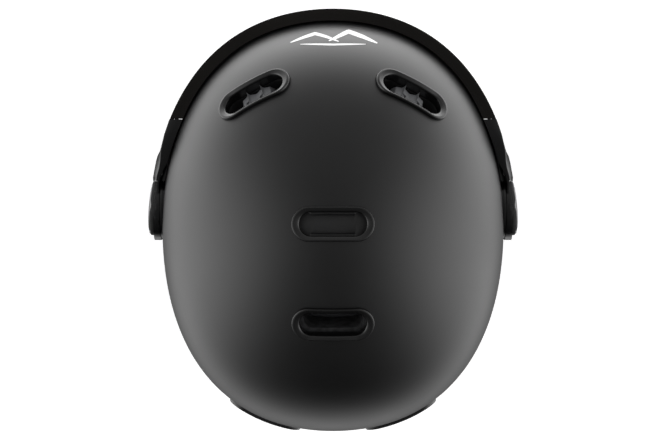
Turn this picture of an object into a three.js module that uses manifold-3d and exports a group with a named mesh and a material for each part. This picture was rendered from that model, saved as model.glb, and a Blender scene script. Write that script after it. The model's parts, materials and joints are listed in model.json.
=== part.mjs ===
// Ski helmet with a hinged full-width visor.
// Millimetres, +Z up. The helmet stands on its ear pads on z = 0 and faces -Y; x = 0 is its plane of symmetry.
import * as THREE from "three";
import { mergeVertices } from "three/addons/utils/BufferGeometryUtils.js";
import Module from "manifold-3d";

const wasm = await Module();
wasm.setup();

const V = (x, y, z) => new THREE.Vector3(x, y, z);
const rad = THREE.MathUtils.degToRad;
const UP = V(0, 0, 1);
const X_AXIS = V(1, 0, 0);

// ---------------------------------------------------------------- driving dimensions

const SHELL = {
  halfWidth: 108.6, halfLength: 130.8, height: 115, // from the widest level to the side, the ends and the crown
  egg: 1.4, // how much blunter the rear is than the front
  widestY: 3.7, widestZ: 107, // where the shell is widest
  squareSides: 0.038, squareTop: 0.02, // how far the corners stand out of an ellipsoid
  thickness: 2.4,
};
const RIM = { brow: 127, side: 76, nape: 58 }; // heights of the shell's lower edge
const LINER = { gap: 1.3, aboveRim: 8, halfWidth: 84, halfLength: 106, height: 92, centreY: 4 };
const TO_CENTRE = 2.76; // moves the finished helmet so that its bounding box is centred in Y
const GAP = 0.3; // between touching pieces
const PAD_GAP = 1.8; // between a pad and the liner, for its hook-and-loop
const ROUND = 36; // steps round the shell, its liner and its trim

const VENT = {
  halfLength: 24.6, radius: 10.3, openHalfLength: 19.6, openRadius: 7, crest: 2.3, depth: 6, wall: 1.2,
};
const PIVOT = {
  y: -10, z: 104, // the visor's hinge line
  face: 109.4, seat: 103.6, // planes in which the mounting plates end, and in which the shell's pockets for them end
  tilt: 5, armThickness: 2.6, // the knobs face forward a little, so the arm's ring is a wedge
};
const VISOR = {
  thickness: 2.2, bulge: 10, bulgeZ: 85, slope: 0.1, sag: 0.0048, // straight above bulgeZ, curved in below it
  ledge: 7.4, // how far the ledge on its top edge reaches in towards the shell
  top: 138, cheek: 24, nose: 62, sideTop: 137, sideBottom: 72, endAngle: 60, // degrees from straight ahead
  endY: -64.6, // the lens's two ends lie in this plane
};
const SHUTTER = { halfLength: 23, halfWidth: 8.4, thickness: 2, depth: 6.6, travel: 14 };
const STRAP = { width: 18, thickness: 1.4, y: -62, z: 2 };
const EAR_PAD = { inset: 9.9, thickness: 17, top: 81, front: -23, rear: 17, lean: 0.08 };
const YOKE = { halfWidth: 71, bendY: 34, rearY: 88, armZ: 92, napeZ: 46, height: 12, thickness: 2, travel: 12 };
const DIAL = { z: 40, radius: 15, thickness: 9 };
const BUCKLE = { width: 25, height: 8.4, travel: 24 };

// ---------------------------------------------------------------- materials

const paint = (color, roughness, metalness = 0) => new THREE.MeshStandardMaterial({ color, roughness, metalness });
const MATT_BLACK = paint(0x1b1b1d, 0.42);
const GLOSS_BLACK = paint(0x101012, 0.18);
const SATIN_BLACK = paint(0x161617, 0.35);
const DARK_GREY = paint(0x2c2d2f, 0.5);
const RUBBER = paint(0x141415, 0.8);
const FOAM = paint(0x262628, 0.9);
const FABRIC = paint(0x1e1f22, 0.95);
const LEATHERETTE = paint(0x19191b, 0.6);
const WEBBING = paint(0x151517, 0.85);
const STEEL = paint(0x9a9ca0, 0.35, 1);
const LENS = paint(0x3a2616, 0.05);

// ---------------------------------------------------------------- solids

// Turns lists of points and triangles into a geometry whose faces point out.
function geometryFrom(points, triangles) {
  const volume = triangles.reduce((sum, [a, b, c]) => {
    return sum + points[a].dot(points[b].clone().cross(points[c])) / 6;
  }, 0);
  const index = triangles.flatMap(([a, b, c]) => (volume < 0 ? [a, c, b] : [a, b, c]));
  const flat = points.flatMap((p) => [p.x, p.y, p.z]);
  return new THREE.BufferGeometry()
    .setAttribute("position", new THREE.Float32BufferAttribute(flat, 3))
    .setIndex(index);
}

function solid(geometry) {
  const bare = geometry.clone();
  bare.deleteAttribute("normal");
  bare.deleteAttribute("uv");
  const merged = mergeVertices(bare, 1e-4);
  const vertProperties = merged.attributes.position.array;
  return new wasm.Manifold(new wasm.Mesh({ numProp: 3, vertProperties, triVerts: new Uint32Array(merged.index.array) }));
}

function geometryOf(made) {
  const mesh = made.simplify(0.04).getMesh();
  return new THREE.BufferGeometry()
    .setAttribute("position", new THREE.Float32BufferAttribute(mesh.vertProperties, 3))
    .setIndex(new THREE.BufferAttribute(mesh.triVerts, 1));
}

const cut = (body, ...tools) => tools.reduce((left, tool) => left.subtract(tool), body);
const join = (first, ...others) => others.reduce((whole, piece) => whole.add(piece), first);

// A closed body through matching polygons: capped at both ends, or a closed loop.
function loft(sections, loop = false) {
  const count = sections[0].length;
  const points = sections.flat();
  const triangles = [];
  const steps = loop ? sections.length : sections.length - 1;
  for (let i = 0; i < steps; i++) {
    const from = i * count;
    const to = ((i + 1) % sections.length) * count;
    for (let k = 0; k < count; k++) {
      const next = (k + 1) % count;
      triangles.push([from + k, from + next, to + next], [from + k, to + next, to + k]);
    }
  }
  if (!loop) {
    const ends = [[0, sections[0], true], [points.length, sections.at(-1), false]];
    for (const [, section, first] of ends) {
      const start = first ? 0 : (sections.length - 1) * count;
      const centre = points.push(average(section)) - 1;
      for (let k = 0; k < count; k++) {
        const edge = [start + k, start + ((k + 1) % count)];
        triangles.push(first ? [centre, edge[1], edge[0]] : [centre, edge[0], edge[1]]);
      }
    }
  }
  return geometryFrom(points, triangles);
}

function average(points) {
  return points.reduce((sum, p) => sum.add(p), V(0, 0, 0)).divideScalar(points.length);
}

// A closed body between two sheets given over (u, v) in 0..1. A ring closes in u; a pole gathers v = 0 in one point.
function slab(outer, inner, nu, nv, { ring = false, pole = false } = {}) {
  const points = [];
  const triangles = [];
  const columns = ring ? nu : nu + 1;
  const grid = (sheet) => {
    const rows = [];
    for (let j = 0; j <= nv; j++) {
      const single = pole && j === 0;
      const row = [];
      for (let i = 0; i < (single ? 1 : columns); i++) row.push(points.push(sheet(i / nu, j / nv)) - 1);
      rows.push(single ? new Array(columns).fill(row[0]) : row);
    }
    return rows;
  };
  const [a, b] = [grid(outer), grid(inner)];
  const face = (p, q, r, flip) => {
    if (p !== q && q !== r && p !== r) triangles.push(flip ? [p, r, q] : [p, q, r]);
  };
  const quad = (p, q, r, s, flip) => {
    face(p, q, r, flip);
    face(p, r, s, flip);
  };
  for (let j = 0; j < nv; j++) {
    for (let i = 0; i < nu; i++) {
      const k = (i + 1) % columns;
      quad(a[j][i], a[j + 1][i], a[j + 1][k], a[j][k], false);
      quad(b[j][i], b[j + 1][i], b[j + 1][k], b[j][k], true);
    }
  }
  for (let i = 0; i < nu; i++) {
    const k = (i + 1) % columns;
    quad(a[nv][i], b[nv][i], b[nv][k], a[nv][k], false);
    if (!pole) quad(a[0][i], b[0][i], b[0][k], a[0][k], true);
  }
  if (!ring) {
    for (let j = 0; j < nv; j++) {
      quad(a[j][0], b[j][0], b[j + 1][0], a[j + 1][0], false);
      quad(a[j][nu], b[j][nu], b[j + 1][nu], a[j + 1][nu], true);
    }
  }
  return geometryFrom(points, triangles);
}

function cylinderX(radius, from, to, y, z, sides = 24) {
  return new THREE.CylinderGeometry(radius, radius, to - from, sides)
    .rotateZ(Math.PI / 2)
    .translate((from + to) / 2, y, z);
}

function box(low, high) {
  return new THREE.BoxGeometry(high.x - low.x, high.y - low.y, high.z - low.z)
    .translate((low.x + high.x) / 2, (low.y + high.y) / 2, (low.z + high.z) / 2);
}

// A bar of rectangular section along points, with its width direction given at each point.
function ribbon(stations, width, thickness) {
  const sections = stations.map(({ at, across }, i) => {
    const before = stations[Math.max(i - 1, 0)].at;
    const after = stations[Math.min(i + 1, stations.length - 1)].at;
    const along = after.clone().sub(before).normalize();
    const half = across.clone().addScaledVector(along, -across.dot(along)).normalize();
    const out = along.clone().cross(half);
    const corner = (w, t) => at.clone().addScaledVector(half, (w * width) / 2).addScaledVector(out, (t * thickness) / 2);
    return [corner(1, 1), corner(-1, 1), corner(-1, -1), corner(1, -1)];
  });
  return loft(sections);
}

// ---------------------------------------------------------------- shell surface

// An egg-shaped ellipsoid with slightly squared corners. theta turns from +X to +Y, v drops from the crown.
function squareness(dx, dy, dz) {
  const flat = dx * dx + dy * dy;
  return 1 + 4 * SHELL.squareSides * dx * dx * dy * dy + 4 * SHELL.squareTop * flat * dz * dz;
}

function shellPoint(theta, v) {
  const [dx, dy, dz] = [Math.sin(v) * Math.cos(theta), Math.sin(v) * Math.sin(theta), Math.cos(v)];
  const s = squareness(dx, dy, dz);
  const q = dy * s;
  return V(
    SHELL.halfWidth * dx * s,
    SHELL.widestY + SHELL.halfLength * q - SHELL.egg * q * q,
    SHELL.widestZ + SHELL.height * dz * s,
  );
}

// Below zero inside the shell's outer surface, above zero outside.
function shellLevel(p) {
  const root = SHELL.halfLength ** 2 - 4 * SHELL.egg * (p.y - SHELL.widestY);
  const qx = p.x / SHELL.halfWidth;
  const qy = (SHELL.halfLength - Math.sqrt(root)) / (2 * SHELL.egg);
  const qz = (p.z - SHELL.widestZ) / SHELL.height;
  const r = Math.hypot(qx, qy, qz);
  return r - squareness(qx / r, qy / r, qz / r);
}

function shellNormal(p) {
  const e = 0.01;
  const slope = (step) => shellLevel(p.clone().add(step)) - shellLevel(p.clone().sub(step));
  return V(slope(V(e, 0, 0)), slope(V(0, e, 0)), slope(V(0, 0, e))).normalize();
}

function shellOffset(theta, v, distance) {
  const p = shellPoint(theta, v);
  return p.addScaledVector(shellNormal(p), distance);
}

// Degrees away from straight ahead, 0 at the brow and 180 at the nape.
const fromFront = (theta) => THREE.MathUtils.radToDeg(Math.acos(-Math.sin(theta)));
const blend = (x, from, to) => THREE.MathUtils.smoothstep(x, from, to);

function rimHeight(theta) {
  const f = fromFront(theta);
  const temple = blend(f, 24, 66);
  const nape = blend(f, 100, 155);
  return RIM.brow + (RIM.side - RIM.brow) * temple + (RIM.nape - RIM.side) * nape;
}

// The angle v at which the shell's surface is at height z.
function angleAt(theta, z) {
  let [low, high] = [0, Math.PI];
  for (let i = 0; i < 40; i++) {
    const middle = (low + high) / 2;
    if (shellPoint(theta, middle).z > z) low = middle;
    else high = middle;
  }
  return low;
}

const turn = (u) => u * 2 * Math.PI;

function shellBlank() {
  const sheet = (distance) => (u, t) => {
    const theta = turn(u);
    return shellOffset(theta, t * angleAt(theta, rimHeight(theta)), distance);
  };
  return solid(slab(sheet(0), sheet(-SHELL.thickness), ROUND, 8, { ring: true, pole: true }));
}

// Everything inside the shell's surface moved out by a distance.
function shellEnvelope(distance) {
  const point = (u, t) => shellOffset(turn(u), Math.max(t * Math.PI, 1e-6), distance);
  const points = [point(0, 0)];
  const triangles = [];
  const rows = 36;
  const around = 72;
  for (let j = 1; j < rows; j++) {
    for (let i = 0; i < around; i++) points.push(point(i / around, j / rows));
  }
  const last = points.push(point(0, 1)) - 1;
  const id = (j, i) => 1 + (j - 1) * around + (i % around);
  for (let i = 0; i < around; i++) {
    triangles.push([0, id(1, i), id(1, i + 1)], [last, id(rows - 1, i + 1), id(rows - 1, i)]);
    for (let j = 1; j < rows - 1; j++) {
      triangles.push([id(j, i), id(j + 1, i), id(j + 1, i + 1)], [id(j, i), id(j + 1, i + 1), id(j, i + 1)]);
    }
  }
  return solid(geometryFrom(points, triangles));
}

// ---------------------------------------------------------------- vents

// A vent's own frame: its centre on the shell, its normal, its long axis and the axis across it.
function ventFrame(centre, longAxis) {
  const normal = shellNormal(centre);
  const along = longAxis.clone().addScaledVector(normal, -longAxis.dot(normal)).normalize();
  return { centre, normal, along, across: normal.clone().cross(along) };
}

function shellAbove(x, y) {
  const low = V(x, y, SHELL.widestZ);
  const high = V(x, y, SHELL.widestZ + SHELL.height + 10);
  for (let i = 0; i < 40; i++) {
    const middle = low.clone().add(high).multiplyScalar(0.5);
    (shellLevel(middle) < 0 ? low : high).copy(middle);
  }
  return low;
}

// The point at (p, q) of a vent, at a height above the shell's surface, all along the vent's normal.
function onVent(vent, p, q, height) {
  const base = vent.centre.clone().addScaledVector(vent.along, p).addScaledVector(vent.across, q);
  let [low, high] = [-40, 20];
  for (let i = 0; i < 40; i++) {
    const middle = (low + high) / 2;
    if (shellLevel(base.clone().addScaledVector(vent.normal, middle)) < 0) low = middle;
    else high = middle;
  }
  return base.addScaledVector(vent.normal, low + height);
}

// The same, but measured from the flat plane through the vent's centre.
function inVent(vent, p, q, height) {
  return vent.centre.clone()
    .addScaledVector(vent.along, p)
    .addScaledVector(vent.across, q)
    .addScaledVector(vent.normal, height);
}

// A slot outline with round ends: arcs of arcSteps and straights of sideSteps.
function stadium(halfLength, radius, arcSteps = 4, sideSteps = 2) {
  const reach = halfLength - radius;
  const outline = [];
  for (const side of [1, -1]) {
    for (let i = 0; i < arcSteps; i++) {
      const angle = -Math.PI / 2 + (i / arcSteps) * Math.PI;
      outline.push([side * (reach + radius * Math.cos(angle)), side * radius * Math.sin(angle)]);
    }
    for (let i = 0; i < sideSteps; i++) {
      outline.push([side * (reach - (i / sideSteps) * 2 * reach), side * radius]);
    }
  }
  return outline;
}

function ventPrism(vent, halfLength, radius, from, to) {
  return solid(loft([from, to].map((h) => stadium(halfLength, radius).map(([p, q]) => inVent(vent, p, q, h)))));
}

// The oval bezel: share 0 is the opening's edge and 1 the bezel's outer edge.
function ventBezel(vent) {
  const { crest, depth, wall } = VENT;
  const seat = wall / (VENT.halfLength - VENT.openHalfLength);
  const profile = [
    [1, GAP], [0.97, 1.2], [0.8, crest], [0.5, crest - 0.1], [0.1, 0.9], [0, 0.3],
    [0, -depth], [seat, -depth], [seat, GAP],
  ];
  const inner = stadium(VENT.openHalfLength, VENT.openRadius);
  const outer = stadium(VENT.halfLength, VENT.radius);
  const sections = inner.map(([p0, q0], i) => {
    const [p1, q1] = outer[i];
    return profile.map(([share, h]) => {
      const at = h === -depth ? inVent : onVent;
      return at(vent, p0 + (p1 - p0) * share, q0 + (q1 - q0) * share, h);
    });
  });
  return loft(sections, true);
}

const overSurface = (normal, dx, dy) => V(dx, dy, -(normal.x * dx + normal.y * dy) / normal.z);
const browCentre = shellAbove(48.1, -77.2);
const napeCentre = shellPoint(rad(66.5), rad(92.5));

const CROWN_FRONT = ventFrame(shellAbove(0, 1), X_AXIS);
const CROWN_REAR = ventFrame(shellAbove(0, 60), X_AXIS);
const BROW_VENT = ventFrame(browCentre, overSurface(shellNormal(browCentre), Math.cos(rad(27.5)), Math.sin(rad(27.5))));
const NAPE_VENT = ventFrame(napeCentre, shellNormal(napeCentre).cross(UP));

const mirrored = (vent) => {
  const flip = (p) => V(-p.x, p.y, p.z);
  const [normal, along] = [flip(vent.normal), flip(vent.along)];
  return { centre: flip(vent.centre), normal, along, across: normal.clone().cross(along) };
};
const SIDE_VENTS = [BROW_VENT, NAPE_VENT];
const VENTS = [CROWN_FRONT, CROWN_REAR, ...SIDE_VENTS, ...SIDE_VENTS.map(mirrored)];

// Moulded duct under a brow vent: a tray with two fins across it and a hole at each end.
function browDuct(vent) {
  const { openHalfLength, openRadius, depth, wall } = VENT;
  const top = -depth - GAP;
  const floor = -14;
  const tray = cut(
    ventPrism(vent, openHalfLength + wall, openRadius + wall, floor - 1.5, top),
    ventPrism(vent, openHalfLength, openRadius, floor, top + 1),
  );
  const holes = [-13.5, 13.5].map((p) => {
    const ring = (h) => stadium(5, 4, 6, 1).map(([a, b]) => inVent(vent, p + a, b - 1.5, h));
    return solid(loft([ring(floor - 3), ring(floor + 1)]));
  });
  const fins = [-5, 5].map((p) => {
    const blade = (offset) => [
      inVent(vent, p + offset, -openRadius - 0.4, floor - 0.5),
      inVent(vent, p + offset, openRadius + 0.4, floor - 0.5),
      inVent(vent, p + offset, openRadius + 0.4, top - 0.8),
      inVent(vent, p + offset, 2.5, top + 1.5),
      inVent(vent, p + offset, -openRadius - 0.4, floor + 3),
    ];
    return solid(loft([blade(-0.6), blade(0.6)]));
  });
  return join(cut(tray, ...holes), ...fins);
}

// Grille under a nape vent: a slotted plate.
function napeGrille(vent) {
  const { openHalfLength, openRadius, depth, wall } = VENT;
  const top = -depth - GAP;
  const plate = ventPrism(vent, openHalfLength + wall, openRadius + wall, top - 1.6, top);
  const slots = [-4, 0, 4].map((q) => {
    const ring = (h) => stadium(13, 1.2, 3, 1).map(([p, b]) => inVent(vent, p, q + b, h));
    return solid(loft([ring(top - 8), ring(top + 6)]));
  });
  return cut(plate, ...slots);
}

// Sliding shutter under the front crown vent, with a finger slot along each long side.
function shutterPlate(vent) {
  const { halfLength, halfWidth, thickness, depth } = SHUTTER;
  const plate = ventPrism(vent, halfLength, halfWidth, -depth - thickness, -depth);
  const slots = [-6.2, 6.2].map((q) => {
    const ring = (h) => stadium(13, 0.7, 3, 1).map(([p, b]) => inVent(vent, p, q + b, h));
    return solid(loft([ring(-depth - 0.9), ring(-depth + 1)]));
  });
  return cut(plate, ...slots);
}

function shutterPocket(vent) {
  const { halfLength, halfWidth, thickness, depth, travel } = SHUTTER;
  const outline = [
    [-halfLength - 0.6, -halfWidth - 0.6], [halfLength + 0.6, -halfWidth - 0.6],
    [halfLength + 0.6, halfWidth + travel + 0.6], [-halfLength - 0.6, halfWidth + travel + 0.6],
  ];
  const ring = (h) => outline.map(([p, q]) => inVent(vent, p, q, h));
  return solid(loft([ring(-depth - thickness - 0.5), ring(-depth + 0.5)]));
}

// ---------------------------------------------------------------- liner and padding

function cavityPoint(theta, v) {
  return V(
    LINER.halfWidth * Math.sin(v) * Math.cos(theta),
    LINER.centreY + LINER.halfLength * Math.sin(v) * Math.sin(theta),
    SHELL.widestZ + LINER.height * Math.cos(v),
  );
}

function cavityNormal(theta, v) {
  return V(
    (Math.sin(v) * Math.cos(theta)) / LINER.halfWidth,
    (Math.sin(v) * Math.sin(theta)) / LINER.halfLength,
    Math.cos(v) / LINER.height,
  ).normalize();
}

const cavityAngle = (z) => Math.acos((z - SHELL.widestZ) / LINER.height);
const cavityInset = (theta, v, inset) => cavityPoint(theta, v).addScaledVector(cavityNormal(theta, v), -inset);

function linerBlank() {
  const rim = (theta) => rimHeight(theta) + LINER.aboveRim;
  const outer = (u, t) => {
    const theta = turn(u);
    return shellOffset(theta, t * angleAt(theta, rim(theta)), -SHELL.thickness - LINER.gap);
  };
  const inner = (u, t) => cavityPoint(turn(u), t * cavityAngle(rim(turn(u))));
  return solid(slab(outer, inner, ROUND, 8, { ring: true, pole: true }));
}

// A comfort pad on the liner's inside, between two bearings and two heights.
function comfortPad(from, to, low, high, thickness, columns) {
  const at = (inset) => (u, t) => {
    const theta = rad(from + (to - from) * u);
    const [bottom, top] = [typeof low === "function" ? low(theta) : low, high];
    return cavityInset(theta, cavityAngle(top + (bottom - top) * t), inset);
  };
  return slab(at(PAD_GAP), at(PAD_GAP + thickness), columns, 3);
}

// A long pad over the crown, under both crown vents.
function crownPad() {
  const [halfWidth, halfLength, middle] = [27, 60, 26];
  const at = (inset) => (u, t) => {
    const reach = Math.max(t, 1e-6);
    const dx = (halfWidth * reach * Math.cos(turn(u))) / LINER.halfWidth;
    const dy = (middle + halfLength * reach * Math.sin(turn(u)) - LINER.centreY) / LINER.halfLength;
    return cavityInset(Math.atan2(dy, dx), Math.asin(Math.hypot(dx, dy)), inset);
  };
  return slab(at(PAD_GAP), at(PAD_GAP + 5), 24, 4, { ring: true, pole: true });
}

// ---------------------------------------------------------------- edge trim

function rimTrim() {
  const profile = [
    [0.4, -3], [1, -3], [1, 0.8], [0.4, 1.4],
    [-SHELL.thickness - 0.8, 1.4], [-SHELL.thickness - 1.6, 0.8], [-SHELL.thickness - 1.6, -3],
    [-SHELL.thickness - 0.8, -3], [-SHELL.thickness - 0.8, GAP], [0.4, GAP],
  ];
  const edge = (theta) => shellPoint(theta, angleAt(theta, rimHeight(theta)));
  const sections = Array.from({ length: ROUND }, (_, i) => {
    const theta = turn(i / ROUND);
    const at = edge(theta);
    const normal = shellNormal(at);
    const along = edge(theta + 0.01).sub(edge(theta - 0.01)).normalize();
    const down = along.clone().cross(normal).normalize();
    if (down.z > 0) down.negate();
    return profile.map(([n, d]) => at.clone().addScaledVector(normal, n).addScaledVector(down, d));
  });
  return loft(sections, true);
}

// ---------------------------------------------------------------- ear pads and straps

// A point beside the head: inset from the shell's outline, leaning in below the shell.
function sidePoint(theta, z, inset) {
  const level = Math.max(z, EAR_PAD.top);
  const p = shellPoint(theta, angleAt(theta, level));
  const n = shellNormal(p).setZ(0).normalize();
  p.addScaledVector(n, -inset - EAR_PAD.lean * (level - z));
  return p.setZ(z);
}

// Outline of the ear pad over (share of its length, share of its height): wide above, rounded below.
function earPad() {
  const { inset, thickness, top, front, rear } = EAR_PAD;
  const sheet = (depth, shrink) => (u, t) => {
    const z = top * (1 - t) + shrink * (2 * t - 1) * 2;
    const narrow = 1 - 0.32 * t ** 2.2 - 0.03 * shrink;
    const middle = (front + rear) / 2 - 2.5 * t;
    const theta = rad(middle + ((rear - front) / 2) * narrow * (2 * u - 1));
    return sidePoint(theta, z, inset + depth);
  };
  return slab(sheet(0, 0), sheet(thickness, 0), 9, 6);
}

function strapStations(points) {
  const steps = 3;
  const at = new THREE.CatmullRomCurve3(points.map((s) => s.at), false, "centripetal");
  const across = new THREE.CatmullRomCurve3(points.map((s) => s.across), false, "centripetal");
  const count = (points.length - 1) * steps;
  return Array.from({ length: count + 1 }, (_, i) => ({
    at: at.getPoint(i / count),
    across: across.getPoint(i / count).normalize(),
  }));
}

const ANCHORS = [{ theta: -21.5, z: 85 }, { theta: 17, z: 88 }]; // strap rivets: front and rear
const JOIN = { theta: -26, z: 26 };
const STRAP_INSET = SHELL.thickness + 1.4 + STRAP.thickness / 2;

// A strap station beside the head, lying flat against the shell, its width tilted by slant.
function besideHead(theta, z, inset = STRAP_INSET + 2.2, slant = 0) {
  const at = sidePoint(rad(theta), z, inset);
  const normal = shellNormal(shellPoint(rad(theta), Math.PI / 2)).setZ(0).normalize();
  return { at, across: V(-normal.y, normal.x, -slant) };
}

// The right-hand strap, from its rivet in front of the ear down to the buckle.
function chinStrap(tailEnd) {
  const front = ANCHORS[0];
  const level = V(0, 1, 0);
  const stations = strapStations([
    besideHead(front.theta, front.z + 9, STRAP_INSET),
    besideHead(front.theta, 78, STRAP_INSET + 2),
    besideHead(-23.5, 55),
    besideHead(JOIN.theta, JOIN.z),
    { at: V(82, -48, 10), across: V(0.3, 1, 0.35) },
    { at: V(70, -58, 2.8), across: V(0.15, 1, 0.05) },
    { at: V(62, STRAP.y, STRAP.z), across: level },
    { at: V(46, STRAP.y, STRAP.z), across: level },
    { at: V(tailEnd, STRAP.y, STRAP.z), across: level },
  ]);
  return solid(ribbon(stations, STRAP.width, STRAP.thickness));
}

// The branch from the rivet behind the ear, stitched to the inside of the strap below the ear.
function rearStrap() {
  const rear = ANCHORS[1];
  const behind = STRAP_INSET + 2.2;
  const stations = strapStations([
    besideHead(rear.theta, rear.z + 9, STRAP_INSET),
    besideHead(rear.theta - 0.5, 80, STRAP_INSET + 1.4),
    besideHead(rear.theta - 7, 63, behind, 0.6),
    besideHead(-14, 42, behind + 0.8, 1),
    besideHead(JOIN.theta + 2, JOIN.z + 2, behind + STRAP.thickness + 1.3, 1),
  ]);
  return solid(ribbon(stations, STRAP.width - 2, STRAP.thickness));
}

// A round bar along the shell's normal at an anchor, from one depth to another.
function anchorBar(anchor, radius, from, to, sides = 10) {
  const at = shellPoint(rad(anchor.theta), angleAt(rad(anchor.theta), anchor.z));
  const normal = shellNormal(at);
  const bar = new THREE.CylinderGeometry(radius, radius, to - from, sides);
  bar.translate(0, (from + to) / 2, 0);
  bar.applyQuaternion(new THREE.Quaternion().setFromUnitVectors(V(0, 1, 0), normal));
  return solid(bar.translate(at.x, at.y, at.z));
}

const RIVET_SHANK = 1.9;

function rivet(anchor) {
  const inside = -STRAP_INSET - STRAP.thickness / 2 - 1.5;
  return join(
    anchorBar(anchor, RIVET_SHANK, inside - 0.5, GAP + 0.5),
    anchorBar(anchor, 4.4, inside - 1.4, inside - 0.1),
    anchorBar(anchor, 4.6, GAP, GAP + 1),
  );
}

function strapPocket(anchor) {
  const low = sidePoint(rad(anchor.theta), 80, 0);
  const half = STRAP.width / 2 + 2.5;
  const depth = 12;
  return solid(box(V(low.x - depth, low.y - half, 78), V(low.x + 12, low.y + half, anchor.z + 11)));
}

// ---------------------------------------------------------------- visor

const earsAngle = (f) => rad(f - 90); // bearing on the right-hand side, f degrees from straight ahead

// A point of the visor's outer face: f degrees from straight ahead (right is positive), height z, moved out by out.
function visorPoint(f, z, out) {
  const theta = earsAngle(f);
  const p = shellPoint(theta, Math.PI / 2);
  const ahead = shellPoint(theta + 0.005, Math.PI / 2).sub(shellPoint(theta - 0.005, Math.PI / 2));
  const n = V(ahead.y, -ahead.x, 0).normalize();
  const rise = z - VISOR.bulgeZ;
  const stand = VISOR.bulge - VISOR.slope * rise - VISOR.sag * Math.min(rise, 0) ** 2;
  return p.addScaledVector(n, stand + out).setZ(z);
}

const topEdge = (f) => VISOR.top + (VISOR.sideTop - VISOR.top) * blend(Math.abs(f), 10, VISOR.endAngle);

function bottomEdge(f) {
  const a = Math.abs(f);
  const nose = (VISOR.nose - VISOR.cheek) * (1 - blend(a, 4, 17));
  const side = (VISOR.sideBottom - VISOR.cheek) * blend(a, 34, VISOR.endAngle);
  return VISOR.cheek + nose + side;
}

function visorBand(outer, inner, low, high, fromAngle, toAngle, columns, rows) {
  const sheet = (out) => (u, t) => {
    const f = fromAngle + (toAngle - fromAngle) * u;
    return visorPoint(f, low(f) + (high(f) - low(f)) * t, out);
  };
  return slab(sheet(outer), sheet(inner), columns, rows);
}

function visorLens() {
  const end = VISOR.endAngle + 4;
  const band = solid(visorBand(0, -VISOR.thickness, bottomEdge, topEdge, -end, end, 32, 5));
  const sheet = (drop) => (u, t) => {
    const f = end * (2 * u - 1);
    return visorPoint(f, topEdge(f) - drop, -VISOR.ledge * t);
  };
  const ledge = solid(slab(sheet(0), sheet(VISOR.thickness), 32, 1));
  return cut(join(band, ledge), solid(box(V(-150, VISOR.endY, 0), V(150, 0, 200))));
}

function browSeal() {
  const face = -VISOR.thickness - 1.1;
  return visorBand(face, face - 0.6, (f) => topEdge(f) - 16, (f) => topEdge(f) - 10, -47, 47, 26, 1);
}

function noseSeal() {
  const face = -VISOR.thickness - 1.6;
  return visorBand(face, face - 5, (f) => bottomEdge(f) + 1, (f) => bottomEdge(f) + 9, -26, 26, 22, 1);
}

// A body between two X planes, with a side outline drawn as (y, z).
function sideways(outline, from, to) {
  const frame = new THREE.Matrix4().makeBasis(V(0, 1, 0), UP, X_AXIS).setPosition(from, 0, 0);
  const body = new THREE.ExtrudeGeometry(outline, { depth: to - from, bevelEnabled: false, curveSegments: 10 });
  return solid(body.applyMatrix4(frame));
}

// Everything beyond a plane through the pivot that is tilted with the knob, at an outward distance.
function beyondKnobPlane(outward) {
  const half = new THREE.BoxGeometry(60, 200, 200).translate(30, 0, 0);
  return solid(half.applyMatrix4(knobMatrix(outward)));
}

// Moves a knob's frame (axis along +X) to the right-hand pivot.
function knobMatrix(outward) {
  return new THREE.Matrix4().makeRotationZ(-rad(PIVOT.tilt)).setPosition(outward, PIVOT.y, PIVOT.z);
}

// How far out the shell's surface is at (y, z), on the right-hand side.
function shellAcross(y, z) {
  let [low, high] = [40, 140];
  for (let i = 0; i < 40; i++) {
    const middle = (low + high) / 2;
    if (shellLevel(V(middle, y, z)) < 0) low = middle;
    else high = middle;
  }
  return low;
}

function along(points, y) {
  const after = Math.max(1, points.findIndex(([py]) => py >= y));
  const [[y0, x0], [y1, x1]] = [points[after - 1], points[after]];
  return x0 + ((x1 - x0) * (y - y0)) / (y1 - y0);
}

// The right-hand arm's blade, seen from above, as (y, x): its faces at mid height, and the edges of its top face.
const BLADE_INNER = [[-64.2, 99.8], [-54, 103.7], [-43, 107], [-33, 109], [-29, 109.7], [-18, 109.7]];
const BLADE_OUTER = [
  [-64.2, 104.3], [-54.7, 107.8], [-45, 110.4], [-42, 112], [-38, 113], [-32.7, 114], [-26, 115.2], [-18, 115.6],
];
const TOP_INNER = [
  [-64.2, 93.3], [-48.4, 98.3], [-39, 102.5], [-33.9, 105.8], [-29, 108.5], [-24, 109.7], [-18, 109.7],
];
const TOP_OUTER = [
  [-64.2, 102.3], [-54.7, 105.6], [-45, 108.1], [-38, 108.8], [-34, 109.6], [-29, 111.2], [-24, 112.1], [-18, 112.1],
];

// A slice of the blade across Y: a flat top face that reaches in over the shell, and an upright flank.
function bladeSection(y) {
  const { z } = PIVOT;
  const high = 136.6 - (136.6 - z - 19.9) * blend(y, -60, -14);
  const low = 73 + (z - 19.9 - 73) * blend(y, -60, -14);
  const [inner, outer] = [along(BLADE_INNER, y), along(BLADE_OUTER, y)];
  const lip = Math.max(along(TOP_INNER, y), shellAcross(y, high) + 1);
  return [
    V(inner, y, low), V(Math.max(outer - 3, inner + 2.4), y, low), V(outer, y, z - 14), V(outer, y, z + 8),
    V(along(TOP_OUTER, y), y, high), V(lip, y, high), V(inner, y, Math.min(z + 14, high - 1)),
  ];
}

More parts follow.
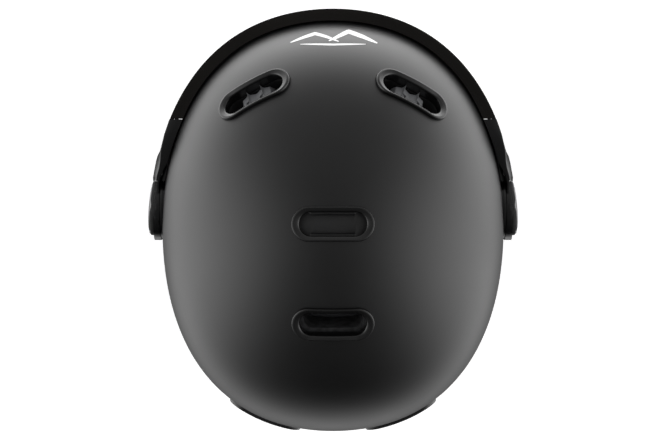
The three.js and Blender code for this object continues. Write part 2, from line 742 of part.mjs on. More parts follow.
// The right-hand arm: its blade, a ring round the pivot that is a wedge, and a well for the knob.
function visorArm() {
  const { y, z, face, armThickness } = PIVOT;
  const start = face + GAP;
  const stations = [-64.2, -60, -56, -52, -48, -44, -41, -38, -35, -32, -29, -26, -22, -18];
  const blade = solid(loft(stations.map(bladeSection)));
  const ring = cut(solid(cylinderX(21.5, start, 120, y, z, 32)), beyondKnobPlane(start + armThickness));
  const well = beyondKnobPlane(start + armThickness).intersect(solid(cylinderX(20, 90, 140, y, z, 28)));
  const rear = beyondKnobPlane(start + armThickness).intersect(solid(box(V(90, -26, 0), V(140, 40, 200))));
  return join(cut(join(blade, ring), well, rear, solid(cylinderX(7.2, 90, 140, y, z, 16))), armTab());
}

// The tab of the arm that the lens is fixed to, behind the lens's end.
function armTab() {
  const behind = -VISOR.thickness - 0.9;
  const end = VISOR.endAngle + 2.5;
  const low = () => VISOR.sideBottom + 6;
  const high = () => 119;
  return solid(visorBand(behind, behind - 1.5, low, high, end - 12, end, 5, 4));
}

// ---------------------------------------------------------------- pivots

// Mounting plate: a disc under the arm's ring, and a tongue that follows the shell forward.
function pivotBase(envelope) {
  const { y, z, face } = PIVOT;
  const disc = solid(cylinderX(20.7, PIVOT.seat + GAP, face, y, z, 28));
  const tongue = new THREE.Shape();
  const outline = [[-62, 97], [-60, 93.5], [-30, 91], [-14, 91], [-14, 117], [-30, 117], [-60, 113.5], [-62, 110]];
  outline.forEach(([py, pz], i) => tongue[i ? "lineTo" : "moveTo"](py, pz));
  const strip = sideways(tongue, 85, face).intersect(shellEnvelope(2.7));
  return cut(join(cut(strip, envelope), disc), solid(cylinderX(3.6, 80, face + 5, y, z, 12)));
}

// The shell's flat-bottomed pocket for a mounting plate: the space it takes, and the cup that closes it.
function pivotPocket() {
  const { y, z, seat } = PIVOT;
  return solid(cylinderX(21.4, seat, 125, y, z, 36));
}

function pivotCup() {
  const { y, z, seat } = PIVOT;
  const outside = solid(cylinderX(23.6, seat - 2.2, 125, y, z, 36)).intersect(shellEnvelope(-0.3));
  return cut(outside, pivotPocket());
}

const KNOB_START = PIVOT.face + GAP + PIVOT.armThickness + GAP; // where the knobs begin, at the pivot

function onKnob(made) {
  const toX = new THREE.Matrix4().makeBasis(V(0, 1, 0), UP, X_AXIS);
  return geometryOf(made).applyMatrix4(knobMatrix(KNOB_START).multiply(toX));
}

function knurledRing() {
  const teeth = 30;
  const [tip, root] = [18.6, 17.9];
  const outline = new THREE.Shape();
  for (let i = 0; i < teeth * 2; i++) {
    const angle = (i / (teeth * 2)) * 2 * Math.PI;
    const r = i % 2 ? root : tip;
    outline[i ? "lineTo" : "moveTo"](r * Math.cos(angle), r * Math.sin(angle));
  }
  outline.holes.push(new THREE.Path().absarc(0, 0, 13, 0, 2 * Math.PI, true));
  return solid(new THREE.ExtrudeGeometry(outline, { depth: 2.4, bevelEnabled: false, curveSegments: 14 }));
}

// Domed knob cap with finger hollows round its edge; its boss turns in the arm's bore, under the bolt's head.
function knobCap() {
  const profile = [
    [6.4, -2.3], [6.4, 0.3], [12.6, 0.3], [12.6, 2.7], [17.6, 2.7], [17.8, 3.3], [16.6, 4], [12.5, 4.9], [7, 5.4],
    [0, 5.6], [0, 3.5], [4.8, 3.5], [4.8, -2.3],
  ].map(([r, h]) => new THREE.Vector2(r, h));
  const dome = solid(new THREE.LatheGeometry([...profile, profile[0]], 20).rotateX(Math.PI / 2));
  const hollows = Array.from({ length: 5 }, (_, i) => {
    const angle = rad(90 + 72 * i);
    const scoop = new THREE.SphereGeometry(1, 6, 4).scale(2.6, 5.2, 1.9);
    scoop.rotateZ(angle).translate(16.8 * Math.cos(angle), 16.8 * Math.sin(angle), 4.4);
    return solid(scoop);
  });
  return cut(dome, ...hollows);
}

function pivotBolt() {
  const { y, z, face } = PIVOT;
  return join(
    solid(cylinderX(2.9, 97.2, face + 1, y, z, 12)),
    solid(cylinderX(4, face + GAP, face + 2.2, y, z, 12)),
  );
}

function pivotNut() {
  const { y, z } = PIVOT;
  const plate = solid(cylinderX(9, 97.4, 99.4, y, z, 16));
  return cut(plate, solid(cylinderX(3.2, 90, 110, y, z, 12)));
}

// ---------------------------------------------------------------- fit system

function yokeStations() {
  const { halfWidth, bendY, rearY, armZ, napeZ } = YOKE;
  const stations = [];
  stations.push({ at: V(halfWidth, -16, armZ), across: UP }, { at: V(halfWidth, 15, armZ), across: UP });
  const steps = 16;
  for (let i = 0; i <= steps; i++) {
    const angle = (i / steps) * Math.PI;
    const drop = Math.sin(angle) ** 2;
    const at = V(halfWidth * Math.cos(angle), bendY + (rearY - bendY) * Math.sin(angle), armZ - (armZ - napeZ) * drop);
    stations.push({ at, across: UP });
  }
  stations.push({ at: V(-halfWidth, 15, armZ), across: UP }, { at: V(-halfWidth, -16, armZ), across: UP });
  return stations;
}

function roundedPlate(width, height, radius, depth) {
  const [w, h] = [width / 2, height / 2];
  const outline = new THREE.Shape();
  outline.absarc(w - radius, -h + radius, radius, -Math.PI / 2, 0);
  outline.absarc(w - radius, h - radius, radius, 0, Math.PI / 2);
  outline.absarc(-w + radius, h - radius, radius, Math.PI / 2, Math.PI);
  outline.absarc(-w + radius, -h + radius, radius, Math.PI, 1.5 * Math.PI);
  return new THREE.ExtrudeGeometry(outline, { depth, bevelEnabled: false, curveSegments: 6 });
}

// Faces +Y: the plate's depth runs rearwards from y.
const facingRear = (geometry, y, z) => geometry.rotateX(-Math.PI / 2).translate(0, y, z);

function dialHousing() {
  const start = YOKE.rearY + YOKE.thickness / 2 + GAP;
  const body = solid(facingRear(roundedPlate(46, 34, 12, 6), start, DIAL.z));
  const bore = new THREE.CylinderGeometry(1.8, 1.8, 30, 16).translate(0, start, DIAL.z);
  return cut(body, solid(bore));
}

function dialWheel() {
  const start = YOKE.rearY + YOKE.thickness / 2 + GAP + 6 + GAP;
  const lobes = 10;
  const outline = new THREE.Shape();
  for (let i = 0; i < lobes * 4; i++) {
    const angle = (i / (lobes * 4)) * 2 * Math.PI;
    const r = DIAL.radius - 0.7 + 0.7 * Math.cos(lobes * angle);
    outline[i ? "lineTo" : "moveTo"](r * Math.cos(angle), r * Math.sin(angle));
  }
  outline.holes.push(new THREE.Path().absarc(0, 0, 2.2, 0, 2 * Math.PI, true));
  const wheel = new THREE.ExtrudeGeometry(outline, { depth: DIAL.thickness, bevelEnabled: false, curveSegments: 10 });
  const well = new THREE.CylinderGeometry(5, 5, 4, 20).translate(0, start + DIAL.thickness, DIAL.z);
  return cut(solid(facingRear(wheel, start, DIAL.z)), solid(well));
}

function dialScrew() {
  const start = YOKE.rearY + YOKE.thickness / 2 + GAP + 1;
  const seat = YOKE.rearY + YOKE.thickness / 2 + 2 * GAP + 6 + DIAL.thickness - 2;
  const shank = new THREE.CylinderGeometry(1.5, 1.5, seat - start + 0.6, 16);
  const head = new THREE.CylinderGeometry(3.6, 3.6, 1.2, 20);
  return join(
    solid(shank.translate(0, (seat + start + 0.6) / 2, DIAL.z)),
    solid(head.translate(0, seat + GAP + 0.6, DIAL.z)),
  );
}

function napePad() {
  const at = (inset) => (u, t) => {
    const angle = rad(62 + 56 * u);
    const { halfWidth, bendY, rearY, armZ, napeZ } = YOKE;
    const x = (halfWidth - inset) * Math.cos(angle);
    const y = bendY + (rearY - bendY - inset) * Math.sin(angle);
    const z = armZ - (armZ - napeZ) * Math.sin(angle) ** 2;
    return V(x, y, z + 9 - 20 * t);
  };
  return slab(at(YOKE.thickness / 2 + 0.6), at(YOKE.thickness / 2 + 6.6), 12, 2);
}

// A block on the liner's side with a channel that the yoke's arm slides in.
function yokeGuide() {
  const { halfWidth, armZ, height, thickness } = YOKE;
  const block = solid(box(V(halfWidth - 3.4, 2, armZ - height / 2 - 3), V(80, 16, armZ + height / 2 + 3)));
  const channel = box(
    V(halfWidth - thickness / 2 - 0.7, -5, armZ - height / 2 - 0.7),
    V(halfWidth + thickness / 2 + 0.7, 25, armZ + height / 2 + 0.7),
  );
  const mouth = box(V(halfWidth - 10, -5, armZ - 3), V(halfWidth, 25, armZ + 3));
  return cut(block, solid(channel), solid(mouth));
}

// ---------------------------------------------------------------- buckle

function buckleFemale() {
  const { width, height } = BUCKLE;
  const [low, high] = [STRAP.y - width / 2, STRAP.y + width / 2];
  const body = solid(box(V(-32, low, 0.3), V(-3, high, height)));
  const pocket = solid(box(V(-26, low + 2.2, 3.9), V(0, high - 2.2, height - 1.6)));
  const window = (side) => solid(box(V(-20, STRAP.y + side * 16 - 5, 3.9), V(-10, STRAP.y + side * 16 + 5, height - 1.6)));
  const half = STRAP.width / 2 + 0.8;
  const slot = solid(box(V(-40, STRAP.y - half, 0.9), V(-24, STRAP.y + half, 3.1)));
  return cut(body, pocket, window(1), window(-1), slot);
}

function buckleMale() {
  const { width, height } = BUCKLE;
  const y = STRAP.y;
  const bodyHalf = width / 2;
  const base = solid(box(V(-2.4, y - bodyHalf, 0.3), V(17, y + bodyHalf, height)));
  const half = STRAP.width / 2 + 0.8;
  const slot = solid(box(V(-10, y - half, 0.9), V(30, y + half, 3.1)));
  const gripHollow = solid(box(V(3, y - 8, 6.6), V(13, y + 8, 12)));
  const tongue = solid(box(V(-22, y - 2.2, 4.3), V(0, y + 2.2, height - 2.2)));
  const prongs = [-1, 1].map((side) => {
    const outline = [[0, 5.5], [0, 9], [-14, 9.3], [-15.5, 9.9], [-23, 8], [-23, 6.4], [-13, 7]];
    const ring = (z) => outline.map(([x, offset]) => V(x, y + side * offset, z));
    return solid(loft([ring(4.3), ring(height - 2.2)]));
  });
  return join(cut(base, slot, gripHollow), tongue, ...prongs);
}

// A flat plastic loop round the strap below the ear.
function strapKeeper() {
  const x = 47;
  const half = STRAP.width / 2;
  const body = solid(box(V(x, STRAP.y - half - 3, 0.3), V(x + 9, STRAP.y + half + 3, 4.4)));
  const slot = solid(box(V(x - 5, STRAP.y - half - 0.8, 0.9), V(x + 20, STRAP.y + half + 0.8, 3.1)));
  return cut(body, slot);
}

function chinPad() {
  const at = (low) => (u, t) => {
    const [x, y] = [-60 + 24 * u, STRAP.y - 14 + 28 * t];
    const crown = 1 - (2 * u - 1) ** 2 * 0.25 - (2 * t - 1) ** 2 * 0.25;
    return V(x, y, low ? 3.3 : 3.3 + 6.5 * crown);
  };
  return slab(at(false), at(true), 6, 6);
}

// ---------------------------------------------------------------- assembly

const helmet = new THREE.Group();
const SIDES = [["right", 1], ["left", -1]];

function place(name, shape, material, parent = helmet) {
  const geometry = shape.isBufferGeometry ? shape : geometryOf(shape);
  const mesh = new THREE.Mesh(geometry, material);
  mesh.name = name;
  parent.add(mesh);
  return mesh;
}

// Puts a copy on each side; the left-hand one is the mirror image of the right-hand one.
function placePair(name, shape, material) {
  const geometry = shape.isBufferGeometry ? shape : geometryOf(shape);
  for (const [side, sign] of SIDES) place(`${name}_${side}`, geometry, material).scale.x = sign;
}

const mirrorX = (made) => made.mirror([1, 0, 0]);
const bothSides = (made) => [made, mirrorX(made)];

function outerShell() {
  const grow = 1.5;
  const holes = VENTS.map((vent) => ventPrism(vent, VENT.openHalfLength + grow, VENT.openRadius + grow, -14, 8));
  const bolts = bothSides(solid(cylinderX(3.4, 80, 115, PIVOT.y, PIVOT.z, 20)));
  const rivets = ANCHORS.flatMap((anchor) => bothSides(anchorBar(anchor, RIVET_SHANK + GAP, -8, 4)));
  const wall = cut(shellBlank(), ...bothSides(pivotPocket()));
  return cut(join(wall, ...bothSides(pivotCup())), ...holes, ...bolts, ...rivets);
}

function foamLiner() {
  const seats = VENTS.map((vent) => {
    return ventPrism(vent, VENT.openHalfLength + 1.9, VENT.openRadius + 1.9, -VENT.depth - 3, 8);
  });
  const through = [CROWN_FRONT, CROWN_REAR, NAPE_VENT, mirrored(NAPE_VENT)]
    .map((vent) => ventPrism(vent, VENT.openHalfLength - 2, VENT.openRadius - 1, -45, 0));
  const ducts = [BROW_VENT, mirrored(BROW_VENT)].flatMap((vent) => [
    ventPrism(vent, VENT.openHalfLength + 1.9, VENT.openRadius + 1.9, -16.2, 0),
    ventPrism(vent, VENT.openHalfLength - 2, VENT.openRadius - 2, -50, 0),
  ]);
  const nuts = bothSides(solid(cylinderX(9.8, 96.4, 115, PIVOT.y, PIVOT.z, 24)));
  const bolts = bothSides(solid(cylinderX(4, 94, 115, PIVOT.y, PIVOT.z, 20)));
  const cups = bothSides(solid(cylinderX(24.2, PIVOT.seat - 2.8, 125, PIVOT.y, PIVOT.z, 36)));
  const pockets = ANCHORS.flatMap((anchor) => bothSides(strapPocket(anchor)));
  return cut(linerBlank(), ...seats, ...through, ...ducts, shutterPocket(CROWN_FRONT), ...nuts, ...bolts, ...cups, ...pockets);
}

place("outer_shell", outerShell(), MATT_BLACK);
place("foam_liner", foamLiner(), FOAM);
place("rim_trim", rimTrim(), RUBBER);

place("crown_vent_bezel_front", ventBezel(CROWN_FRONT), GLOSS_BLACK);
place("crown_vent_bezel_rear", ventBezel(CROWN_REAR), GLOSS_BLACK);
placePair("brow_vent_bezel", ventBezel(BROW_VENT), GLOSS_BLACK);
placePair("nape_vent_bezel", ventBezel(NAPE_VENT), GLOSS_BLACK);
placePair("brow_vent_duct", browDuct(BROW_VENT), DARK_GREY);
placePair("nape_vent_grille", napeGrille(NAPE_VENT), DARK_GREY);
place("crown_vent_shutter", shutterPlate(CROWN_FRONT), SATIN_BLACK);

place("brow_pad", comfortPad(-146, -34, (theta) => rimHeight(theta) + 9, 150, 6, 18), FABRIC);
place("rear_pad", comfortPad(48, 132, 78, 118, 6, 14), FABRIC);
placePair("side_pad", comfortPad(-20, 34, 104, 134, 6, 10), FABRIC);
place("crown_pad", crownPad(), FABRIC);

placePair("ear_pad", earPad(), LEATHERETTE);
place("strap_keeper", strapKeeper(), SATIN_BLACK);
const rivetHoles = ANCHORS.map((anchor) => anchorBar(anchor, RIVET_SHANK + GAP, -8, 4));
const strapRight = cut(chinStrap(6), rivetHoles[0]);
const strapLeft = mirrorX(cut(chinStrap(26), rivetHoles[0]));
place("chin_strap_right", strapRight, WEBBING);
place("chin_strap_left", strapLeft, WEBBING);
placePair("rear_strap", cut(rearStrap(), rivetHoles[1]), WEBBING);
placePair("strap_rivet_front", rivet(ANCHORS[0]), STEEL);
placePair("strap_rivet_rear", rivet(ANCHORS[1]), STEEL);
place("buckle_socket", buckleFemale(), SATIN_BLACK);
place("buckle_plug", buckleMale(), SATIN_BLACK);
place("chin_pad", chinPad(), FABRIC);

place("visor_lens", visorLens(), LENS);
place("visor_brow_seal", browSeal(), RUBBER);
place("visor_nose_seal", noseSeal(), FOAM);
placePair("visor_arm", visorArm(), GLOSS_BLACK);

const envelope = shellEnvelope(GAP);
placePair("pivot_base", pivotBase(envelope), GLOSS_BLACK);
placePair("pivot_bolt", pivotBolt(), STEEL);
placePair("pivot_nut", pivotNut(), STEEL);
placePair("knob_ring", onKnob(knurledRing()), RUBBER);
placePair("knob_cap", onKnob(knobCap()), SATIN_BLACK);

place("fit_yoke", ribbon(yokeStations(), YOKE.height, YOKE.thickness), SATIN_BLACK);
place("fit_dial_housing", dialHousing(), SATIN_BLACK);
place("fit_dial", dialWheel(), RUBBER);
place("fit_dial_screw", dialScrew(), STEEL);
place("nape_pad", napePad(), FABRIC);
placePair("fit_guide", yokeGuide(), SATIN_BLACK);

helmet.position.y = TO_CENTRE;

export default helmet;
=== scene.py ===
# Ski helmet with a hinged visor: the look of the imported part.
# Shapes are worked out in millimetres, in the part's own layout, and turned into metres when a mesh is made.
import json
import math

import bmesh
import bpy
import numpy as np
from mathutils import Matrix, Vector

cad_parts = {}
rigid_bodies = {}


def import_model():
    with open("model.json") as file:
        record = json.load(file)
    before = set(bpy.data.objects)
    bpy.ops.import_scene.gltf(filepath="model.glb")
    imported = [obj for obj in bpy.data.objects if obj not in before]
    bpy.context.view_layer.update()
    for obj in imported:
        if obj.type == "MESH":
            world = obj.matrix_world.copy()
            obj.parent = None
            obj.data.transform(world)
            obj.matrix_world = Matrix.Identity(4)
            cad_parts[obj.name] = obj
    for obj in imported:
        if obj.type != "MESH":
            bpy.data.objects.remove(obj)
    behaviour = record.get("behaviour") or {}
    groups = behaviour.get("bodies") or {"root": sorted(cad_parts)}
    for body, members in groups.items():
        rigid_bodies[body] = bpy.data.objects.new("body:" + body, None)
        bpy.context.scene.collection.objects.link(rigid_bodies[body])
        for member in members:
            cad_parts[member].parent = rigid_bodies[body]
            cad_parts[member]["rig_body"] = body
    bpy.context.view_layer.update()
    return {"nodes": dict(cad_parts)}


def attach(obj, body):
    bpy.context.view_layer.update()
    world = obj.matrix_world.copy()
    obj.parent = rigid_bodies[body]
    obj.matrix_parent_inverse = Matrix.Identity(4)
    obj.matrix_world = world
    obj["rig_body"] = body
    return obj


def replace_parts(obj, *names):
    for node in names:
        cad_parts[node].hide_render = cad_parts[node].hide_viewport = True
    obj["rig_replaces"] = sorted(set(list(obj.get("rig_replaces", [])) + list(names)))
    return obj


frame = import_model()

TO_CENTRE = 2.76

# ------------------------------------------------------------------ camera

camera_data = bpy.data.cameras.new("camera")
camera_data.sensor_width = 36.0
camera_data.lens = 105.6
camera = bpy.data.objects.new("camera", camera_data)
camera.location = (0, 0.00086, 1.357)
camera.rotation_euler = (0, 0, math.pi)
bpy.context.scene.collection.objects.link(camera)
bpy.context.scene.camera = camera
bpy.context.scene.view_settings.view_transform = "Standard"

# ------------------------------------------------------------------ dimensions, mm

HALF_WIDTH, HALF_LENGTH, HEIGHT, EGG = 108.6, 130.8, 115.0, 1.4
WIDEST_Y, WIDEST_Z = 3.7, 107.0
SQUARE_SIDES, SQUARE_TOP = 0.038, 0.02
THICKNESS = 2.4
RIM = {"brow": 127, "side": 76, "nape": 58}
CAVITY = {"x": 84, "y": 106, "z": 92, "centre": 4}
VENT = {"half": 24.6, "radius": 10.3, "open_half": 19.6, "open_radius": 7, "crest": 2.3, "depth": 6,
        "wall": 1.2}
PIVOT = {"y": -10, "z": 104, "face": 109.4, "seat": 103.6, "tilt": 5, "arm": 2.6}
VISOR = {"thick": 2.2, "bulge": 10, "bulge_z": 85, "slope": 0.1, "sag": 0.0048, "ledge": 7.4, "top": 138,
         "cheek": 24, "nose": 62,
         "side_top": 137, "side_bottom": 72, "end": 60, "end_y": -64.6}
STRAP = {"width": 18, "thick": 1.4, "y": -62, "z": 2, "join": 2.2}
YOKE = {"x": 71, "y": 34, "reach": 54, "z": 92, "drop": 46, "front": -16}
DIAL = {"z": 40, "start": 89.3}
FULL_TURN = 2 * math.pi


def smooth(x, low, high):
    t = np.clip((np.asarray(x, float) - low) / (high - low), 0, 1)
    return t * t * (3 - 2 * t)


def unit(v):
    v = np.asarray(v, float)
    return v / np.maximum(np.linalg.norm(v, axis=-1, keepdims=True), 1e-12)


def stack(x, y, z):
    return np.stack(np.broadcast_arrays(np.asarray(x, float), y, z), axis=-1)


def bisect(inside, low, high, steps=40):
    """The place between low and high where inside(place) stops being true."""
    for _ in range(steps):
        middle = (low + high) / 2
        low, high = (middle, high) if inside(middle) else (low, middle)
    return low


def circle(radius, steps, centre=(0, 0)):
    turns = [FULL_TURN * i / steps for i in range(steps)]
    return [(centre[0] + radius * math.cos(a), centre[1] + radius * math.sin(a)) for a in turns]


def turned(angle):
    """The matrix of a turn about the third axis."""
    c, s = math.cos(angle), math.sin(angle)
    return np.array([[c, -s, 0], [s, c, 0], [0, 0, 1]])


def to_metres(points):
    return (np.asarray(points, float) + [0, TO_CENTRE, 0]) / 1000


def to_mm(points):
    return np.asarray(points, float) * 1000 - [0, TO_CENTRE, 0]


def read_vertices(mesh, what="co"):
    values = np.empty(len(mesh.vertices) * 3, np.float32)
    mesh.vertices.foreach_get(what, values)
    return values.reshape(-1, 3)


# ------------------------------------------------------------------ shell surface

def squareness(dx, dy, dz):
    flat = dx * dx + dy * dy
    return 1 + 4 * SQUARE_SIDES * dx * dx * dy * dy + 4 * SQUARE_TOP * flat * dz * dz


def shell_point(theta, v):
    dx, dy, dz = np.sin(v) * np.cos(theta), np.sin(v) * np.sin(theta), np.cos(v)
    s = squareness(dx, dy, dz)
    q = dy * s
    return stack(HALF_WIDTH * dx * s, WIDEST_Y + HALF_LENGTH * q - EGG * q * q, WIDEST_Z + HEIGHT * dz * s)


def shell_level(p):
    x, y, z = p[..., 0], p[..., 1], p[..., 2]
    qx = x / HALF_WIDTH
    qy = (HALF_LENGTH - np.sqrt(HALF_LENGTH ** 2 - 4 * EGG * (y - WIDEST_Y))) / (2 * EGG)
    qz = (z - WIDEST_Z) / HEIGHT
    r = np.sqrt(qx * qx + qy * qy + qz * qz)
    return r - squareness(qx / r, qy / r, qz / r)


def shell_normal(p):
    e = 0.01
    slopes = [shell_level(p + e * step) - shell_level(p - e * step) for step in np.eye(3)]
    return unit(np.stack(slopes, axis=-1))


def shell_offset(theta, v, distance):
    p = shell_point(theta, v)
    return p + shell_normal(p) * distance


def rim_height(theta):
    f = np.degrees(np.arccos(np.clip(-np.sin(theta), -1, 1)))
    rise = (RIM["side"] - RIM["brow"]) * smooth(f, 24, 66)
    return RIM["brow"] + rise + (RIM["nape"] - RIM["side"]) * smooth(f, 100, 155)


def angle_at(theta, z):
    theta, z = np.broadcast_arrays(np.asarray(theta, float), np.asarray(z, float))
    low, high = np.zeros(theta.shape), np.full(theta.shape, math.pi)
    for _ in range(36):
        middle = (low + high) / 2
        above = shell_point(theta, middle)[..., 2] > z
        low, high = np.where(above, middle, low), np.where(above, high, middle)
    return low


# ------------------------------------------------------------------ mesh making

def piece(name, points, faces, material, body="helmet", nodes=None, slot=None, smooth_angle=40):
    """Makes a piece from millimetre points. It stands for the CAD node of its own name, unless nodes says."""
    mesh = bpy.data.meshes.new(name)
    mesh.from_pydata(to_metres(points).tolist(), [], [list(map(int, f)) for f in faces])
    mesh.validate()
    obj = bpy.data.objects.new(name, mesh)
    bpy.context.scene.collection.objects.link(obj)
    outwards(obj)
    finish_piece(obj, material, body, name if nodes is None and body else nodes, slot, smooth_angle)
    return obj


def outwards(obj):
    bm = bmesh.new()
    bm.from_mesh(obj.data)
    bmesh.ops.recalc_face_normals(bm, faces=bm.faces)
    bm.to_mesh(obj.data)
    bm.free()


def shade(obj, angle=40):
    obj.data.polygons.foreach_set("use_smooth", [True] * len(obj.data.polygons))
    obj.data.set_sharp_from_angle(angle=math.radians(angle))


def finish_piece(obj, material, body, node, slot, smooth_angle=40):
    if material is not None:
        obj.data.materials.clear()
        obj.data.materials.append(material)
    shade(obj, smooth_angle)
    if body:
        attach(obj, body)
    if node:
        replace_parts(obj, node)


def tool(points, faces):
    """A scratch solid for booleans."""
    return piece("tool", points, faces, None, body=None)


def outline_of(obj):
    """A scratch solid's points in millimetres, and its faces."""
    return to_mm([v.co[:] for v in obj.data.vertices]), [list(f.vertices) for f in obj.data.polygons]


def apply_modifiers(obj):
    bpy.context.view_layer.update()
    made = bpy.data.meshes.new_from_object(obj.evaluated_get(bpy.context.evaluated_depsgraph_get()))
    old = obj.data
    obj.modifiers.clear()
    obj.data = made
    bpy.data.meshes.remove(old)


def boolean(obj, operation, *tools):
    for other in tools:
        step = obj.modifiers.new("boolean", "BOOLEAN")
        step.operation = operation
        step.solver = "MANIFOLD"
        step.object = other
    apply_modifiers(obj)
    for other in tools:
        bpy.data.objects.remove(other)
    return obj


def bevel(obj, width, segments=3, angle=35):
    step = obj.modifiers.new("bevel", "BEVEL")
    step.width = width / 1000
    step.segments = segments
    step.limit_method = "ANGLE"
    step.angle_limit = math.radians(angle)
    step.harden_normals = False
    apply_modifiers(obj)
    shade(obj, 50)


def mirror_copy(obj, node, body=None, name=None):
    """The left-hand twin of a right-hand piece, standing for a node."""
    twin = obj.copy()
    twin.data = obj.data.copy()
    twin.name = name or node
    bpy.context.scene.collection.objects.link(twin)
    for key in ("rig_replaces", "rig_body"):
        if key in twin:
            del twin[key]
    twin.parent = None
    twin.matrix_world = Matrix.Identity(4)
    twin.data.transform(Matrix.Diagonal((-1, 1, 1, 1)))
    twin.data.flip_normals()
    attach(twin, body or obj["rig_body"])
    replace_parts(twin, node)
    return twin


def loft(sections, ring=False):
    sections = np.asarray(sections, float)
    count, size = len(sections), len(sections[0])
    faces = []
    for i in range(count if ring else count - 1):
        j = (i + 1) % count
        for k in range(size):
            n = (k + 1) % size
            faces.append((i * size + k, i * size + n, j * size + n, j * size + k))
    if not ring:
        faces.append(tuple(range(size))[::-1])
        faces.append(tuple((count - 1) * size + k for k in range(size)))
    return sections.reshape(-1, 3), faces


def slab(outer, inner, nu, nv, ring=False, pole=False):
    """A closed body between two sheets given over (u, t); t = 0 is a single point if pole."""
    columns = nu if ring else nu + 1
    u = np.arange(columns) / nu
    points, faces, grids = [], [], []
    for sheet in (outer, inner):
        rows = []
        for j in range(nv + 1):
            if pole and j == 0:
                rows.append([len(points)] * columns)
                points.append(np.asarray(sheet(np.array([0.0]), 0.0)).reshape(-1, 3)[0])
                continue
            rows.append(list(range(len(points), len(points) + columns)))
            points.extend(np.asarray(sheet(u, j / nv)).reshape(-1, 3))
        grids.append(rows)
    a, b = grids

    def quad(*ids):
        ids = [i for n, i in enumerate(ids) if i not in ids[:n]]
        if len(ids) > 2:
            faces.append(tuple(ids))

    for j in range(nv):
        for i in range(nu):
            k = (i + 1) % columns
            quad(a[j][i], a[j + 1][i], a[j + 1][k], a[j][k])
            quad(b[j][i], b[j][k], b[j + 1][k], b[j + 1][i])
    for i in range(nu):
        k = (i + 1) % columns
        quad(a[nv][i], b[nv][i], b[nv][k], a[nv][k])
        if not pole:
            quad(a[0][i], a[0][k], b[0][k], b[0][i])
    if not ring:
        for j in range(nv):
            quad(a[j][0], b[j][0], b[j + 1][0], a[j + 1][0])
            quad(a[j][nu], a[j + 1][nu], b[j + 1][nu], b[j][nu])
    return np.array(points), faces


def prism(outline, low, high, place):
    """A prism over a flat outline; place(p, q, h) gives the point."""
    return loft([[place(p, q, h) for p, q in outline] for h in (low, high)])


def lathe(profile, steps=64):
    """Turns a closed (radius, height) profile about the height axis, which is the third."""
    return loft([[(r * x, r * y, h) for r, h in profile] for x, y in circle(1, steps)], ring=True)


def rounded(profile, radius=0.3, steps=3, closed=True):
    """Rounds the corners of a polygon."""
    pts = [np.array(p, float) for p in profile]
    made = []
    for i, p in enumerate(pts):
        if not closed and i in (0, len(pts) - 1):
            made.append(p)
            continue
        a, b = pts[i - 1] - p, pts[(i + 1) % len(pts)] - p
        la, lb = np.linalg.norm(a), np.linalg.norm(b)
        cut = min(radius, la * 0.45, lb * 0.45)
        start, end = p + a / la * cut, p + b / lb * cut
        for t in np.arange(steps + 1) / steps:
            made.append((1 - t) ** 2 * start + 2 * t * (1 - t) * p + t * t * end)
    return [tuple(p) for p in made]


# ------------------------------------------------------------------ materials

def nodes_of(name):
    material = bpy.data.materials.new(name)
    material.use_nodes = True
    tree = material.node_tree
    return material, tree, tree.nodes["Principled BSDF"]


def link(tree, a, b):
    tree.links.new(a, b)


class Maths:
    """Sums in a node tree."""

    def __init__(self, tree):
        self.tree = tree

    def __call__(self, operation, *values):
        node = self.tree.nodes.new("ShaderNodeMath")
        node.operation = operation
        for i, value in enumerate(values):
            if isinstance(value, (int, float)):
                node.inputs[i].default_value = value
            else:
                link(self.tree, value, node.inputs[i])
        return node.outputs[0]

    def smooth(self, value, low, high):
        node = self.tree.nodes.new("ShaderNodeMapRange")
        node.interpolation_type = "SMOOTHSTEP"
        node.inputs["From Min"].default_value = min(low, high)
        node.inputs["From Max"].default_value = max(low, high)
        node.inputs["To Min"].default_value = 0.0 if low < high else 1.0
        node.inputs["To Max"].default_value = 1.0 if low < high else 0.0
        link(self.tree, value, node.inputs["Value"])
        return node.outputs["Result"]


def texture(tree, kind, scale, coords="Object", **settings):
    where = tree.nodes.new("ShaderNodeTexCoord")
    made = tree.nodes.new("ShaderNodeTex" + kind)
    for key, value in settings.items():
        if key in made.inputs:
            made.inputs[key].default_value = value
        else:
            setattr(made, key, value)
    made.inputs["Scale"].default_value = scale
    link(tree, where.outputs[coords], made.inputs["Vector"])
    return made


def ramp(tree, source, low, high):
    """Maps a 0..1 value to a range, or to a mix of two colours."""
    if isinstance(low, tuple):
        made = tree.nodes.new("ShaderNodeValToRGB")
        made.color_ramp.elements[0].color = (*low, 1)
        made.color_ramp.elements[1].color = (*high, 1)
        made.color_ramp.elements[0].position = 0.3
        made.color_ramp.elements[1].position = 0.7
        link(tree, source, made.inputs["Fac"])
        return made.outputs["Color"]
    made = tree.nodes.new("ShaderNodeMapRange")
    made.inputs["To Min"].default_value = low
    made.inputs["To Max"].default_value = high
    link(tree, source, made.inputs["Value"])
    return made.outputs["Result"]


def bump(tree, shader, height, strength, distance):
    made = tree.nodes.new("ShaderNodeBump")
    made.inputs["Strength"].default_value = strength
    made.inputs["Distance"].default_value = distance
    link(tree, height, made.inputs["Height"])
    last = shader.inputs["Normal"].links
    if last:
        link(tree, last[0].from_socket, made.inputs["Normal"])
    link(tree, made.outputs["Normal"], shader.inputs["Normal"])


